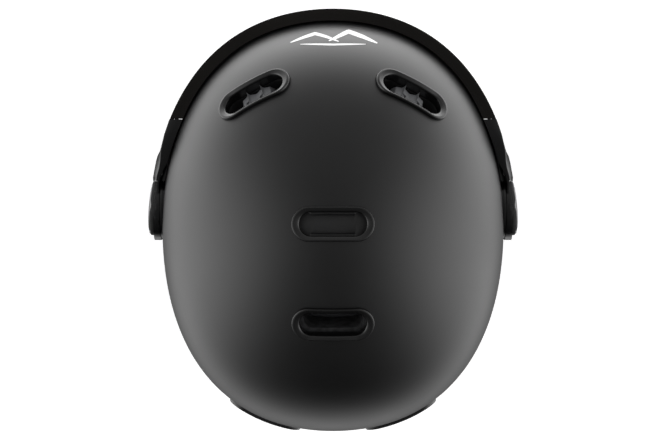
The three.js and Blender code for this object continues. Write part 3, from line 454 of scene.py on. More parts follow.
def plain(name, dark, light, rough, grain, depth, metallic=0.0, blotch=40, specular=0.5):
    """Moulded or painted surface: tone and roughness drift in blotches, and a fine grain."""
    material, tree, shader = nodes_of(name)
    drift = texture(tree, "Noise", blotch, Detail=4.0)
    link(tree, ramp(tree, drift.outputs["Fac"], dark, light), shader.inputs["Base Color"])
    link(tree, ramp(tree, drift.outputs["Fac"], *rough), shader.inputs["Roughness"])
    fine = texture(tree, "Noise", grain, Detail=3.0)
    bump(tree, shader, fine.outputs["Fac"], 0.35, depth)
    shader.inputs["Metallic"].default_value = metallic
    shader.inputs["Specular IOR Level"].default_value = specular
    return material


def woven(name, dark, light, scale, coords="Object", sheen=0.3, rough=0.9, depth=0.0004):
    """Cloth: two or three crossed sets of threads, and loose fibres; the colour is darker where the threads
    sink, as painted shade.
    """
    material, tree, shader = nodes_of(name)
    m = Maths(tree)
    waves = [texture(tree, "Wave", scale, coords, bands_direction=axis, Distortion=0.6,
                     Detail=1.0).outputs["Fac"]
             for axis in ("XY" if coords == "UV" else "XYZ")]
    total = waves[0]
    for wave in waves[1:]:
        total = m("ADD", total, wave)
    share = m("DIVIDE", total, len(waves))
    # painted shade: the base colour follows the bump height, darker in the sunken parts of the weave
    link(tree, ramp(tree, share, dark, light), shader.inputs["Base Color"])
    link(tree, ramp(tree, share, rough, rough - 0.12), shader.inputs["Roughness"])
    bump(tree, shader, share, 0.6, depth)
    fuzz = texture(tree, "Noise", 900, Detail=2.0)
    bump(tree, shader, fuzz.outputs["Fac"], 0.3, 0.0002)
    shader.inputs["Sheen Weight"].default_value = sheen
    shader.inputs["Sheen Roughness"].default_value = 0.5
    return material


def cellular(name, dark, light, scale, rough, depth, strength=0.5, sheen=0.0):
    """Leatherette or moulded foam: rounded cells with creases between them; the colour is darker in the
    creases as painted shade.
    """
    material, tree, shader = nodes_of(name)
    cells = texture(tree, "Voronoi", scale, feature="SMOOTH_F1", Randomness=1.0)
    # painted shade: the base colour darkens towards the cell edges, in the creases the bump sinks
    link(tree, ramp(tree, cells.outputs["Distance"], light, dark), shader.inputs["Base Color"])
    link(tree, ramp(tree, cells.outputs["Distance"], *rough), shader.inputs["Roughness"])
    bump(tree, shader, ramp(tree, cells.outputs["Distance"], 1.0, 0.0), strength, depth)
    fine = texture(tree, "Noise", scale * 3, Detail=3.0)
    bump(tree, shader, fine.outputs["Fac"], 0.2, depth / 3)
    shader.inputs["Sheen Weight"].default_value = sheen
    return material


SHELL_PAINT = plain("shell_paint", (0.0012, 0.0012, 0.0013), (0.0018, 0.0018, 0.0019), (0.36, 0.42), 1500,
                    0.00002)
GLOSS = plain("gloss_black", (0.002, 0.002, 0.0022), (0.003, 0.003, 0.0032), (0.14, 0.24), 900, 0.00001,
              blotch=70)
BEZEL = plain("bezel_black", (0.002, 0.002, 0.002), (0.003, 0.003, 0.003), (0.2, 0.28), 1200, 0.00002)
PLASTIC = plain("black_plastic", (0.0025, 0.0025, 0.0025), (0.005, 0.005, 0.0052), (0.36, 0.48), 1800,
                0.00004)
GREY_PLASTIC = plain("grey_plastic", (0.10, 0.102, 0.106), (0.14, 0.142, 0.148), (0.4, 0.52), 1600, 0.00004)
CAP_PLASTIC = plain("cap_plastic", (0.07, 0.07, 0.072), (0.09, 0.09, 0.092), (0.3, 0.38), 1400, 0.00002,
                    specular=0.9)
RUBBER = plain("black_rubber", (0.006, 0.006, 0.006), (0.012, 0.012, 0.012), (0.68, 0.82), 1400, 0.00006)
STEEL = plain("steel", (0.42, 0.42, 0.43), (0.58, 0.58, 0.59), (0.24, 0.38), 2400, 0.00002, metallic=1.0)
PRINT = plain("white_print", (0.78, 0.78, 0.78), (0.86, 0.86, 0.86), (0.4, 0.48), 1500, 0.00002)
FOAM = cellular("bead_foam", (0.006, 0.006, 0.006), (0.02, 0.02, 0.021), 330, (0.78, 0.92), 0.0005, 0.7)
SOFT_FOAM = cellular("open_foam", (0.008, 0.008, 0.008), (0.024, 0.024, 0.025), 900, (0.9, 0.98), 0.0003)
LEATHER = cellular("leatherette", (0.007, 0.007, 0.0075), (0.016, 0.016, 0.017), 700, (0.42, 0.62), 0.00025,
                   0.5)
LINING = woven("lining", (0.008, 0.0085, 0.0095), (0.026, 0.027, 0.03), 420, sheen=0.35)
WEBBING = woven("webbing", (0.006, 0.006, 0.006), (0.02, 0.02, 0.021), 330, coords="UV", sheen=0.2,
                depth=0.0005)
THREAD = plain("thread", (0.03, 0.03, 0.032), (0.06, 0.06, 0.062), (0.6, 0.75), 3000, 0.00008)


def lens_material():
    material, tree, shader = nodes_of("tinted_lens")
    drift = texture(tree, "Noise", 8, Detail=3.0)
    link(tree, ramp(tree, drift.outputs["Fac"], (0.006, 0.0055, 0.005), (0.009, 0.0082, 0.0075)),
         shader.inputs["Base Color"])
    link(tree, ramp(tree, drift.outputs["Fac"], 0.04, 0.09), shader.inputs["Roughness"])
    fine = texture(tree, "Noise", 300, Detail=2.0)
    bump(tree, shader, fine.outputs["Fac"], 0.05, 0.00001)
    shader.inputs["Alpha"].default_value = 0.98
    shader.inputs["Specular IOR Level"].default_value = 0.12
    return material


LENS = lens_material()

# ------------------------------------------------------------------ vents

class Vent:
    """A vent's own frame: p along the slot, q across it, h out of the shell."""

    def __init__(self, centre, long_axis):
        self.centre = np.asarray(centre, float)
        self.normal = shell_normal(self.centre)
        along = np.asarray(long_axis, float)
        self.along = unit(along - self.normal * along.dot(self.normal))
        self.across = np.cross(self.normal, self.along)

    def flat(self, p, q, h):
        return self.centre + p * self.along + q * self.across + h * self.normal

    def on(self, p, q, h):
        """The same, with h measured from the curved shell."""
        base = self.flat(p, q, 0)
        rise = bisect(lambda s: shell_level(base + s * self.normal) < 0, -40.0, 20.0, 36)
        return base + (rise + h) * self.normal


def shell_above(x, y):
    top = WIDEST_Z + HEIGHT + 10
    return np.array([x, y, bisect(lambda z: shell_level(np.array([x, y, z])) < 0, WIDEST_Z, top)])


def brow_vent():
    centre = shell_above(48.1, -77.2)
    n = shell_normal(centre)
    dx, dy = math.cos(math.radians(27.5)), math.sin(math.radians(27.5))
    return Vent(centre, (dx, dy, -(n[0] * dx + n[1] * dy) / n[2]))


def nape_vent():
    centre = shell_point(math.radians(66.5), math.radians(92.5))
    return Vent(centre, np.cross(shell_normal(centre), (0, 0, 1)))


CROWN_FRONT, CROWN_REAR = Vent(shell_above(0, 1), (1, 0, 0)), Vent(shell_above(0, 60), (1, 0, 0))
BROW, NAPE = brow_vent(), nape_vent()


def flipped(points):
    return np.asarray(points) * [-1, 1, 1]


def stadium(half, radius, arc=20, side=16):
    reach = half - radius
    outline = []
    for s in (1, -1):
        for i in range(arc):
            a = -math.pi / 2 + i / arc * math.pi
            outline.append((s * (reach + radius * math.cos(a)), s * radius * math.sin(a)))
        outline += [(s * (reach - i / side * 2 * reach), s * radius) for i in range(side)]
    return outline


def vent_tools(half, radius, low, high, vents=None):
    """One scratch prism per vent, both sides of the paired ones."""
    made = []
    for vent in vents or (CROWN_FRONT, CROWN_REAR, BROW, NAPE):
        points, faces = prism(stadium(half, radius, 12, 2), low, high, vent.flat)
        made.append(tool(points, faces))
        if vent in (BROW, NAPE):
            made.append(tool(flipped(points), faces))
    return made


def cylinder_x(radius, start, end, y, z, steps=48):
    return loft([[(x, a, b) for a, b in circle(radius, steps, (y, z))] for x in (start, end)])


def both(points_faces):
    points, faces = points_faces
    return [tool(points, faces), tool(flipped(points), faces)]


def on_shell(anchor):
    """An anchor's point on the shell, with the directions out, sideways and up there."""
    theta = math.radians(anchor[0])
    at = shell_point(theta, angle_at(theta, anchor[1]))
    n = shell_normal(at)
    side = unit(np.cross(n, (0, 0, 1)))
    return at, n, side, np.cross(side, n)


def anchor_bar(anchor, radius, low, high):
    at, n, side, up = on_shell(anchor)
    return loft([[at + n * h + side * a + up * b for a, b in circle(radius, 32)] for h in (low, high)])


ANCHORS = [(-21.5, 85), (17, 88)]

# ------------------------------------------------------------------ shell

def mark_stroke(path, half):
    """One painted stroke that lies on the brow of the shell, tapering to its ends."""
    fine = along([(x, y, 0) for x, y in path], 0.8, closed=False)[:, :2]
    ahead = unit(np.gradient(fine, axis=0))
    side = np.stack([-ahead[:, 1], ahead[:, 0]], axis=-1)
    taper = np.sin(np.linspace(0.02, 0.98, len(fine)) * math.pi) ** 0.6

    def sheet(height):
        def at(u, t):
            made = []
            for k in np.round(u * (len(fine) - 1)).astype(int):
                x, y = fine[k] + side[k] * half * taper[k] * (2 * t - 1)
                p = shell_above(x, y)
                made.append(p + shell_normal(p) * height)
            return made
        return at
    return slab(sheet(0.12), sheet(-0.5), len(fine) - 1, 6)


MARK = [([(-27, -109.2), (-18.5, -113.4), (-9.5, -117.2), (-3.5, -113.6), (2.5, -110.2)], 1.5),
        ([(-3.5, -109.8), (4, -113.2), (11, -115.6), (18, -113), (26, -109.6)], 1.1),
        ([(-20, -108.2), (0, -107.6), (20, -108.2)], 0.6)]


def pivot_pocket(radius, start):
    return cylinder_x(radius, start, 125, PIVOT["y"], PIVOT["z"], 128)


def pivot_cup():
    """Closes the shell's flat-bottomed pocket for a mounting plate."""
    cup = tool(*pivot_pocket(23.6, PIVOT["seat"] - 2.2))
    boolean(cup, "INTERSECT", envelope(-0.3))
    return boolean(cup, "DIFFERENCE", tool(*pivot_pocket(21.4, PIVOT["seat"])))


def flipped_tool(obj):
    points, faces = outline_of(obj)
    return tool(flipped(points), faces)


def make_shell():
    def sheet(distance):
        def at(u, t):
            theta = FULL_TURN * u
            return shell_offset(theta, np.maximum(t * angle_at(theta, rim_height(theta)), 1e-6), distance)
        return at
    shell = piece("shell", *slab(sheet(0), sheet(-THICKNESS), 288, 96, ring=True, pole=True), SHELL_PAINT,
                  nodes="outer_shell", slot="shell_paint")
    boolean(shell, "DIFFERENCE", *both(pivot_pocket(21.4, PIVOT["seat"])))
    cup = pivot_cup()
    boolean(shell, "UNION", flipped_tool(cup), cup)
    boolean(shell, "DIFFERENCE", *vent_tools(VENT["open_half"] + 1.5, VENT["open_radius"] + 1.5, -14, 8),
            *both(cylinder_x(3.4, 80, 115, PIVOT["y"], PIVOT["z"])),
            *[t for a in ANCHORS for t in both(anchor_bar(a, 2.2, -8, 4))])
    for path, half in MARK:
        add_part(shell, *mark_stroke(path, half), PRINT)
    smooth_shell(shell)


def smooth_shell(shell):
    """Gives the outer face the true surface's normals, so that no facet shows."""
    mesh = shell.data
    shade(shell, 30)
    co = to_mm(read_vertices(mesh))
    true = shell_normal(co)
    on = np.abs(shell_level(co)) < 2e-4
    loops = np.empty(len(mesh.loops), np.int32)
    mesh.loops.foreach_get("vertex_index", loops)
    normals = np.array([c.vector[:] for c in mesh.corner_normals])
    for face in mesh.polygons:
        ids = list(face.vertices)
        if on[ids].all() and float(np.dot(face.normal, true[ids[0]])) > 0.8:
            normals[face.loop_start:face.loop_start + face.loop_total] = true[ids]
    mesh.normals_split_custom_set(normals.tolist())


def vent_bezel(name, vent, twin=None):
    depth, crest = VENT["depth"], VENT["crest"]
    seat = VENT["wall"] / (VENT["half"] - VENT["open_half"])
    outer_profile = rounded([(1.0, 0.25), (0.98, 1.5), (0.9, crest - 0.1), (0.7, crest), (0.14, crest - 1),
                             (0.0, 0.4),
                             (0.0, -0.6)], 0.35, 5, closed=False)
    profile = outer_profile + [(0, -depth + 0.4), (0.03, -depth), (seat, -depth), (seat, 0.3)]
    inner, outer = stadium(VENT["open_half"], VENT["open_radius"]), stadium(VENT["half"], VENT["radius"])
    sections = []
    for (p0, q0), (p1, q1) in zip(inner, outer):
        ring = []
        for share, h in profile:
            at = vent.flat if h <= -depth + 0.5 else vent.on
            ring.append(at(p0 + (p1 - p0) * share, q0 + (q1 - q0) * share, h))
        sections.append(ring)
    made = piece(name, *loft(sections, ring=True), BEZEL, slot="black_plastic")
    if twin:
        mirror_copy(made, twin)


def brow_duct():
    """Moulded insert: a dark tray, and a grey scalloped block in it with two pointed fins."""
    top, floor = -VENT["depth"] - 0.3, -14.0
    half, radius = VENT["open_half"], VENT["open_radius"]
    tray = piece("brow_vent_duct_right", *prism(stadium(half + 1.2, radius + 1.2), floor - 1.5, top,
                                                BROW.flat),
                 PLASTIC, slot="grey_plastic")
    rear = tool(*prism([(a, b + 3.4) for a, b in stadium(16, 2.8, 12, 2)], floor - 3, floor + 1, BROW.flat))
    boolean(tray, "DIFFERENCE", tool(*prism(stadium(half, radius), floor, top + 1, BROW.flat)), rear)
    bevel(tray, 0.25, 2, 50)
    count, rows = 160, 30
    block_half, fin_at, fin_half = 10.8, 4.7, 0.75
    p_line = np.linspace(-block_half, block_half, count + 1)
    off = np.abs(np.abs(p_line) - fin_at)
    valley = np.clip(off / fin_at, 0, 1) ** 0.7
    crest = np.clip(1 - off / fin_half, 0, 1)
    end = smooth(np.abs(p_line), block_half - 1.6, block_half)

    def sheet(height):
        def at(u, t):
            k = np.round(u * count).astype(int)
            heights = np.broadcast_to(height(k, t), np.shape(k))
            return [BROW.flat(p, -6.6 + 7.8 * t, h) for p, h in zip(p_line[k], heights)]
        return at

    def block_top(k, t):
        lip = np.exp(-t / 0.09) * valley[k]
        return -5.0 - 1.5 * valley[k] - 2.6 * lip - 3.0 * end[k] + crest[k] * (2.0 * (1 - t) + 0.3)
    block = tool(*slab(sheet(block_top), sheet(lambda k, t: floor - 0.6), count, rows))
    notches = [tool(*prism([(c + a, -0.4 + b) for a, b in stadium(1.5, 0.9, 8, 2)], floor - 3, 0, BROW.flat))
               for c in (-3.3, 6.1)]
    boolean(block, "DIFFERENCE", *notches)
    add_part(tray, *outline_of(block), GREY_PLASTIC)
    bpy.data.objects.remove(block)
    shade(tray, 35)
    mirror_copy(tray, "brow_vent_duct_left")


def nape_grille():
    top = -VENT["depth"] - 0.3
    outline = stadium(VENT["open_half"] + 1.2, VENT["open_radius"] + 1.2)
    plate = piece("nape_vent_grille_right", *prism(outline, top - 1.6, top, NAPE.flat), PLASTIC,
                  slot="black_plastic")
    slots = [tool(*prism([(p, c + b) for p, b in stadium(13, 1.2, 8, 2)], top - 8, top + 6, NAPE.flat))
             for c in (-4, 0, 4)]
    boolean(plate, "DIFFERENCE", *slots)
    bevel(plate, 0.25, 2, 50)
    mirror_copy(plate, "nape_vent_grille_left")


def shutter():
    plate = piece("crown_vent_shutter", *prism(stadium(23, 8.4), -8, -6, CROWN_FRONT.flat), PLASTIC,
                  body="crown_shutter", slot="black_plastic")
    slots = [tool(*prism([(p, c + b) for p, b in stadium(13, 0.75, 8, 2)], -7.2, -5, CROWN_FRONT.flat))
             for c in (-6.1, 6.1)]
    boolean(plate, "DIFFERENCE", *slots)
    bevel(plate, 0.2, 2, 50)


# ------------------------------------------------------------------ liner and trim

def cavity_point(theta, v, inset=0.0):
    p = stack(CAVITY["x"] * np.sin(v) * np.cos(theta),
              CAVITY["centre"] + CAVITY["y"] * np.sin(v) * np.sin(theta),
              WIDEST_Z + CAVITY["z"] * np.cos(v))
    n = unit(stack(np.sin(v) * np.cos(theta) / CAVITY["x"], np.sin(v) * np.sin(theta) / CAVITY["y"],
                   np.cos(v) / CAVITY["z"]))
    return p - n * inset


def cavity_angle(z):
    return np.arccos(np.clip((np.asarray(z, float) - WIDEST_Z) / CAVITY["z"], -1, 1))


def side_point(theta, z, inset):
    """Beside the head: inset from the shell's outline, leaning in below the shell."""
    level = max(z, 81)
    p = shell_point(theta, angle_at(theta, level))
    n = shell_normal(p) * [1, 1, 0]
    p = p - unit(n) * (inset + 0.08 * (level - z))
    p[..., 2] = z
    return p


def box_solid(low, high):
    (x0, y0, z0), (x1, y1, z1) = low, high
    return loft([[(x0, y0, z), (x1, y0, z), (x1, y1, z), (x0, y1, z)] for z in (z0, z1)])


def make_liner():
    def edge(theta):
        return rim_height(theta) + 8

    def outer(u, t):
        theta = FULL_TURN * u
        return shell_offset(theta, np.maximum(t * angle_at(theta, edge(theta)), 1e-6), -THICKNESS - 1.3)

    def inner(u, t):
        return cavity_point(FULL_TURN * u, t * cavity_angle(edge(FULL_TURN * u)))
    liner = piece("foam_liner", *slab(outer, inner, 192, 56, ring=True, pole=True), FOAM, slot="foam")
    open_half, open_radius = VENT["open_half"], VENT["open_radius"]
    pocket = [(-23.6, -9), (23.6, -9), (23.6, 23), (-23.6, 23)]
    straps = []
    for angle, z in ANCHORS:
        low = side_point(math.radians(angle), 80, 0)
        straps += both(box_solid((low[0] - 12, low[1] - 11.5, 78), (low[0] + 12, low[1] + 11.5, z + 11)))
    boolean(liner, "DIFFERENCE",
            *vent_tools(open_half + 1.9, open_radius + 1.9, -9, 8),
            *vent_tools(open_half - 2, open_radius - 1, -45, 0, (CROWN_FRONT, CROWN_REAR, NAPE)),
            *vent_tools(open_half + 1.9, open_radius + 1.9, -16.2, 0, (BROW,)),
            *vent_tools(open_half - 2, open_radius - 2, -50, 0, (BROW,)),
            tool(*prism(pocket, -8.5, -5.5, CROWN_FRONT.flat)),
            *both(cylinder_x(9.8, 96.4, 115, PIVOT["y"], PIVOT["z"])),
            *both(cylinder_x(4, 94, 115, PIVOT["y"], PIVOT["z"])),
            *both(pivot_pocket(24.2, PIVOT["seat"] - 2.8)), *straps)
    shade(liner, 35)


def make_trim():
    steps = 288
    t = THICKNESS
    profile = rounded([(0.4, -3), (1, -3), (1, 0.8), (0.4, 1.4), (-t - 0.8, 1.4), (-t - 1.6, 0.8),
                       (-t - 1.6, -3),
                       (-t - 0.8, -3), (-t - 0.8, 0.3), (0.4, 0.3)], 0.35, 4)
    theta = np.arange(steps) / steps * FULL_TURN

    def edge(th):
        return shell_point(th, angle_at(th, rim_height(th)))
    at = edge(theta)
    n = shell_normal(at)
    down = unit(np.cross(unit(edge(theta + 0.01) - edge(theta - 0.01)), n))
    down = np.where(down[:, 2:] > 0, -down, down)
    sections = [[at[i] + n[i] * a + down[i] * b for a, b in profile] for i in range(steps)]
    piece("rim_trim", *loft(sections, ring=True), RUBBER, slot="black_rubber")


# ------------------------------------------------------------------ visor

def visor_point(f, z, out):
    theta = np.radians(np.asarray(f, float) - 90)
    p = shell_point(theta, math.pi / 2)
    ahead = shell_point(theta + 0.005, math.pi / 2) - shell_point(theta - 0.005, math.pi / 2)
    n = unit(stack(ahead[..., 1], -ahead[..., 0], 0))
    z = np.asarray(z, float)
    rise = z - VISOR["bulge_z"]
    stand = VISOR["bulge"] - VISOR["slope"] * rise - VISOR["sag"] * np.minimum(rise, 0) ** 2 + out
    p = p + n * stand[..., None]
    p[..., 2] = z
    return p


def top_edge(f):
    return VISOR["top"] + (VISOR["side_top"] - VISOR["top"]) * smooth(np.abs(f), 10, VISOR["end"])


def bottom_edge(f):
    a = np.abs(f)
    nose = (VISOR["nose"] - VISOR["cheek"]) * (1 - smooth(a, 4, 17))
    return VISOR["cheek"] + nose + (VISOR["side_bottom"] - VISOR["cheek"]) * smooth(a, 34, VISOR["end"])


def level_edge(z):
    return lambda f: f * 0 + z


def edge_above(edge, rise):
    return lambda f: edge(f) + rise


def visor_band(outer, inner, low, high, start, end, columns, rows):
    def sheet(out):
        def at(u, t):
            f = start + (end - start) * u
            return visor_point(f, low(f) + (high(f) - low(f)) * t, out)
        return at
    return slab(sheet(outer), sheet(inner), columns, rows)


def lens_ledge(end):
    """The ledge along the lens's top edge, which closes the gap towards the shell."""
    def sheet(drop):
        def at(u, t):
            f = end * (2 * u - 1)
            return visor_point(f, top_edge(f) - drop, -VISOR["ledge"] * t)
        return at
    return tool(*slab(sheet(0), sheet(VISOR["thick"]), 220, 4))


def make_lens():
    end = VISOR["end"]
    band = visor_band(0, -VISOR["thick"], bottom_edge, top_edge, -end - 4, end + 4, 220, 40)
    lens = piece("visor_lens", *band, LENS, body="visor", slot="tinted_lens")
    boolean(lens, "UNION", lens_ledge(end + 4))
    boolean(lens, "DIFFERENCE", tool(*box_solid((-150, VISOR["end_y"], 0), (150, 0, 200))))
    bevel(lens, 0.7, 4, 40)
    brow = visor_band(-3.3, -3.9, edge_above(top_edge, -16), edge_above(top_edge, -10), -47, 47, 150, 6)
    seal = piece("visor_brow_seal", *brow, RUBBER, body="visor", slot="black_rubber")
    bevel(seal, 0.15, 2, 50)
    nose = visor_band(-3.8, -8.8, edge_above(bottom_edge, 1), edge_above(bottom_edge, 9), -26, 26, 100, 8)
    seal = piece("visor_nose_seal", *nose, SOFT_FOAM, body="visor", slot="foam")
    bevel(seal, 1.6, 5, 50)


def line(y, points):
    """Linear interpolation through (y, value) points."""
    ys, values = zip(*points)
    return float(np.interp(y, ys, values))


def shell_across(y, z):
    return bisect(lambda x: shell_level(np.array([x, y, z])) < 0, 40.0, 140.0)


# The arm's blade, seen from above, as (y, x): its faces at mid height, and the edges of its top face.
BLADE_INNER = [(-64.2, 99.8), (-54, 103.7), (-43, 107), (-33, 109), (-29, 109.7), (-18, 109.7)]
BLADE_OUTER = [(-64.2, 104.3), (-54.7, 107.8), (-45, 110.4), (-42, 112), (-38, 113), (-32.7, 114),
               (-26, 115.2), (-18, 115.6)]
TOP_INNER = [(-64.2, 93.3), (-48.4, 98.3), (-39, 102.5), (-33.9, 105.8), (-29, 108.5), (-24, 109.7),
             (-18, 109.7)]
TOP_OUTER = [(-64.2, 102.3), (-54.7, 105.6), (-45, 108.1), (-38, 108.8), (-34, 109.6), (-29, 111.2),
             (-24, 112.1), (-18, 112.1)]


def blade_section(y):
    """A slice of the arm's blade: a flat top face that reaches in over the shell, and an upright flank."""
    z = PIVOT["z"]
    high = 136.6 - (136.6 - z - 19.9) * float(smooth(y, -60, -14))
    low = 73 + (z - 19.9 - 73) * float(smooth(y, -60, -14))
    inner, outer = line(y, BLADE_INNER), line(y, BLADE_OUTER)
    lip = max(line(y, TOP_INNER), shell_across(y, high) + 1)
    ring = [(inner, low), (max(outer - 3, inner + 2.4), low), (outer, z - 14), (outer, z + 8),
            (line(y, TOP_OUTER), high),
            (lip, high), (inner, min(z + 14, high - 1))]
    return [(x, y, h) for x, h in rounded(ring, 0.5, 3)]


def make_arm():
    """The right-hand arm: the blade, and a wedge-shaped ring round the pivot."""
    y, z = PIVOT["y"], PIVOT["z"]
    start = PIVOT["face"] + 0.3
    arm = piece("visor_arm_right", *loft([blade_section(at) for at in np.linspace(-64.2, -18, 70)]), GLOSS,
                body="visor", slot="glossy_black")
    ring = tool(*cylinder_x(21.5, start, 120, y, z, 128))
    boolean(ring, "DIFFERENCE", knob_box(start + PIVOT["arm"]))
    boolean(arm, "UNION", ring)
    well = common(cylinder_x(20, 90, 140, y, z, 128), knob_box(start + PIVOT["arm"]))
    rear = common(box_solid((90, -26, 0), (140, 40, 220)), knob_box(start + PIVOT["arm"]))
    boolean(arm, "DIFFERENCE", well, rear, tool(*cylinder_x(7.2, 90, 140, y, z)))
    behind, end = -VISOR["thick"] - 0.9, VISOR["end"] + 2.5
    tab = visor_band(behind, behind - 1.5, level_edge(VISOR["side_bottom"] + 6), level_edge(119), end - 12,
                     end, 24, 24)
    under = visor_band(behind, -5.0, level_edge(130), level_edge(134), end - 6, end + 1, 16, 4)
    boolean(arm, "UNION", tool(*tab), tool(*under))
    bevel(arm, 0.3, 3, 40)
    mirror_copy(arm, "visor_arm_left")


def knob_matrix(outward):
    return turned(-math.radians(PIVOT["tilt"])), np.array([outward, PIVOT["y"], PIVOT["z"]])


def knob_box(outward):
    points, faces = box_solid((0, -100, -100), (60, 100, 100))
    turn, at = knob_matrix(outward)
    return tool(points @ turn.T + at, faces)


def common(points_faces, other):
    """A scratch solid of what two solids share."""
    return boolean(tool(*points_faces), "INTERSECT", other)


# ------------------------------------------------------------------ pivots

def envelope(distance):
    """A scratch solid with the whole shell surface, moved out by a distance."""
    def sheet(u, t):
        v = np.full(np.shape(u), np.clip(t * math.pi, 1e-6, math.pi - 1e-6))
        return shell_offset(FULL_TURN * u, v, distance)
    columns, rows = 144, 72
    points = [sheet(np.array([0.0]), 0.0)[0]]
    for j in range(1, rows):
        points.extend(sheet(np.arange(columns) / columns, j / rows))
    points.append(sheet(np.array([0.0]), 1.0)[0])

    def at(j, i):
        return 1 + (j - 1) * columns + i % columns
    last = len(points) - 1
    faces = []
    for i in range(columns):
        faces += [(0, at(1, i), at(1, i + 1)), (last, at(rows - 1, i + 1), at(rows - 1, i))]
        faces += [(at(j, i), at(j + 1, i), at(j + 1, i + 1), at(j, i + 1)) for j in range(1, rows - 1)]
    return tool(points, faces)


def make_base():
    """Mounting plate: a disc in the shell's pocket, and a tongue that follows the shell forward."""
    y, z, face = PIVOT["y"], PIVOT["z"], PIVOT["face"]
    outline = rounded([(-62, 97), (-60, 93.5), (-30, 91), (-14, 91), (-14, 117), (-30, 117), (-60, 113.5),
                       (-62, 110)], 2, 4)
    strip = tool(*loft([[(x, a, b) for a, b in outline] for x in (85, face)]))
    boolean(strip, "INTERSECT", envelope(2.7))
    boolean(strip, "DIFFERENCE", envelope(0.3))
    rim, groove = 20.7, 20.3
    disc = loft([[(x, a, b) for a, b in circle(r, 128, (y, z))]
                 for x, r in ((PIVOT["seat"] + 0.3, rim), (face - 2.4, rim), (face - 2.2, groove),
                              (face - 1.7, groove),
                              (face - 1.5, rim), (face, rim))])
    base = piece("pivot_base_right", *disc, GLOSS, slot="glossy_black")
    boolean(base, "UNION", strip)
    boolean(base, "DIFFERENCE", tool(*cylinder_x(3.6, 80, face + 5, y, z)))
    bevel(base, 0.3, 3, 40)
    mirror_copy(base, "pivot_base_left")


def on_knob(points):
    """From the knob's own layout (x back, y up, z outward) to its place."""
    turn, at = knob_matrix(PIVOT["face"] + 0.3 + PIVOT["arm"] + 0.3)
    own = np.asarray(points, float)[:, [2, 0, 1]]
    return own @ turn.T + at


def make_knob():
    teeth, sections = 84, []
    for i in range(teeth * 4):
        a = FULL_TURN * i / (teeth * 4)
        tip = 18.6 - 0.28 * (1 - math.cos(teeth * a)) / 1.4
        ring = [((r if r > 10 else tip - (0.25 if h < 0.05 or h > 2.35 else 0)), h) for r, h in
                [(13, 0.05), (13, 2.35), (0, 2.4), (0, 2.15), (0, 0.25), (0, 0.0)]]
        sections.append([(r * math.cos(a), r * math.sin(a), h) for r, h in ring])
    points, faces = loft(sections, ring=True)
    ring_piece = piece("knob_ring_right", on_knob(points), faces, RUBBER, body="right_knob",
                       slot="black_rubber", smooth_angle=50)
    mirror_copy(ring_piece, "knob_ring_left", body="left_knob")

    dome = [(17.8, 3.2), (17.3, 3.5), (16.2, 3.8), (14, 4.2), (11, 4.5), (7.5, 4.75), (4, 4.88), (0.02, 4.95)]
    profile = [(0.02, 3.5), (4.8, 3.5), (4.8, -2.3), (6.4, -2.3), (6.4, 0.3), (12.6, 0.3), (12.6, 2.7),
               (17.6, 2.7)] + dome
    points, faces = lathe(profile, 128)
    cap = tool(on_knob(points), faces)
    scoops = []
    for i in range(5):
        ball, ball_faces = lathe([(max(math.sin(a), 1e-4),
                                   -math.cos(a)) for a in np.arange(17) / 16 * math.pi], 32)
        ball = (ball * [2.6, 5.2, 1.9] + [16.9, 0, 4.5]) @ turned(math.radians(90 + 72 * i)).T
        scoops.append(tool(on_knob(ball), ball_faces))
    boolean(cap, "DIFFERENCE", *scoops)
    for outline in ([(-14.5, 0), (-11.8, 1.6), (-11.8, -1.6)], [(-1.8, 9.5), (0, 12.4), (1.8, 9.5)]):
        mark = loft([[(x, y, h) for x, y in outline] for h in (4.0, 8)])
        boolean(cap, "DIFFERENCE", tool(on_knob(mark[0]), mark[1]))
    cap.name = "knob_cap_right"
    finish_piece(cap, CAP_PLASTIC, "right_knob", "knob_cap_right", "black_plastic")
    bevel(cap, 0.18, 2, 40)
    mirror_copy(cap, "knob_cap_left", body="left_knob")


def turned_x(profile, steps=64):
    """A body turned about the pivot's axis: profile is (radius, x)."""
    points, faces = lathe(profile, steps)
    return np.stack([points[:, 2], points[:, 0] + PIVOT["y"], points[:, 1] + PIVOT["z"]], axis=-1), faces


def make_fasteners():
    face = PIVOT["face"]
    bolt = [(0.02, 97.2), (2.6, 97.2), (2.9, 97.5), (2.9, face + 0.3), (4, face + 0.3), (4, face + 1.9),
            (3.7, face + 2.2),
            (2.0, face + 2.2), (1.8, face + 1.0), (0.02, face + 1.0)]
    made = piece("pivot_bolt_right", *turned_x(bolt), STEEL, slot="steel")
    mirror_copy(made, "pivot_bolt_left")
    nut = rounded([(3.2, 97.4), (9, 97.4), (9, 99.4), (3.2, 99.4)], 0.4, 3)
    made = piece("pivot_nut_right", *turned_x(nut), STEEL, slot="steel")
    mirror_copy(made, "pivot_nut_left")
    rivet = [(0.02, -8.1), (3.2, -8.1), (4.2, -7.7), (4.4, -6.8), (1.9, -6.8), (1.9, 0.3), (4.6, 0.3),
             (4.5, 0.75),
             (3.6, 1.15), (2, 1.28), (0.02, 1.3)]
    for anchor, node in zip(ANCHORS, ("strap_rivet_front_", "strap_rivet_rear_")):
        at, n, side, up = on_shell(anchor)
        points, faces = lathe(rivet, 48)
        placed = at + points[:, :1] * side + points[:, 1:2] * up + points[:, 2:] * n
        made = piece(node + "right", placed, faces, STEEL, slot="steel")
        mirror_copy(made, node + "left")


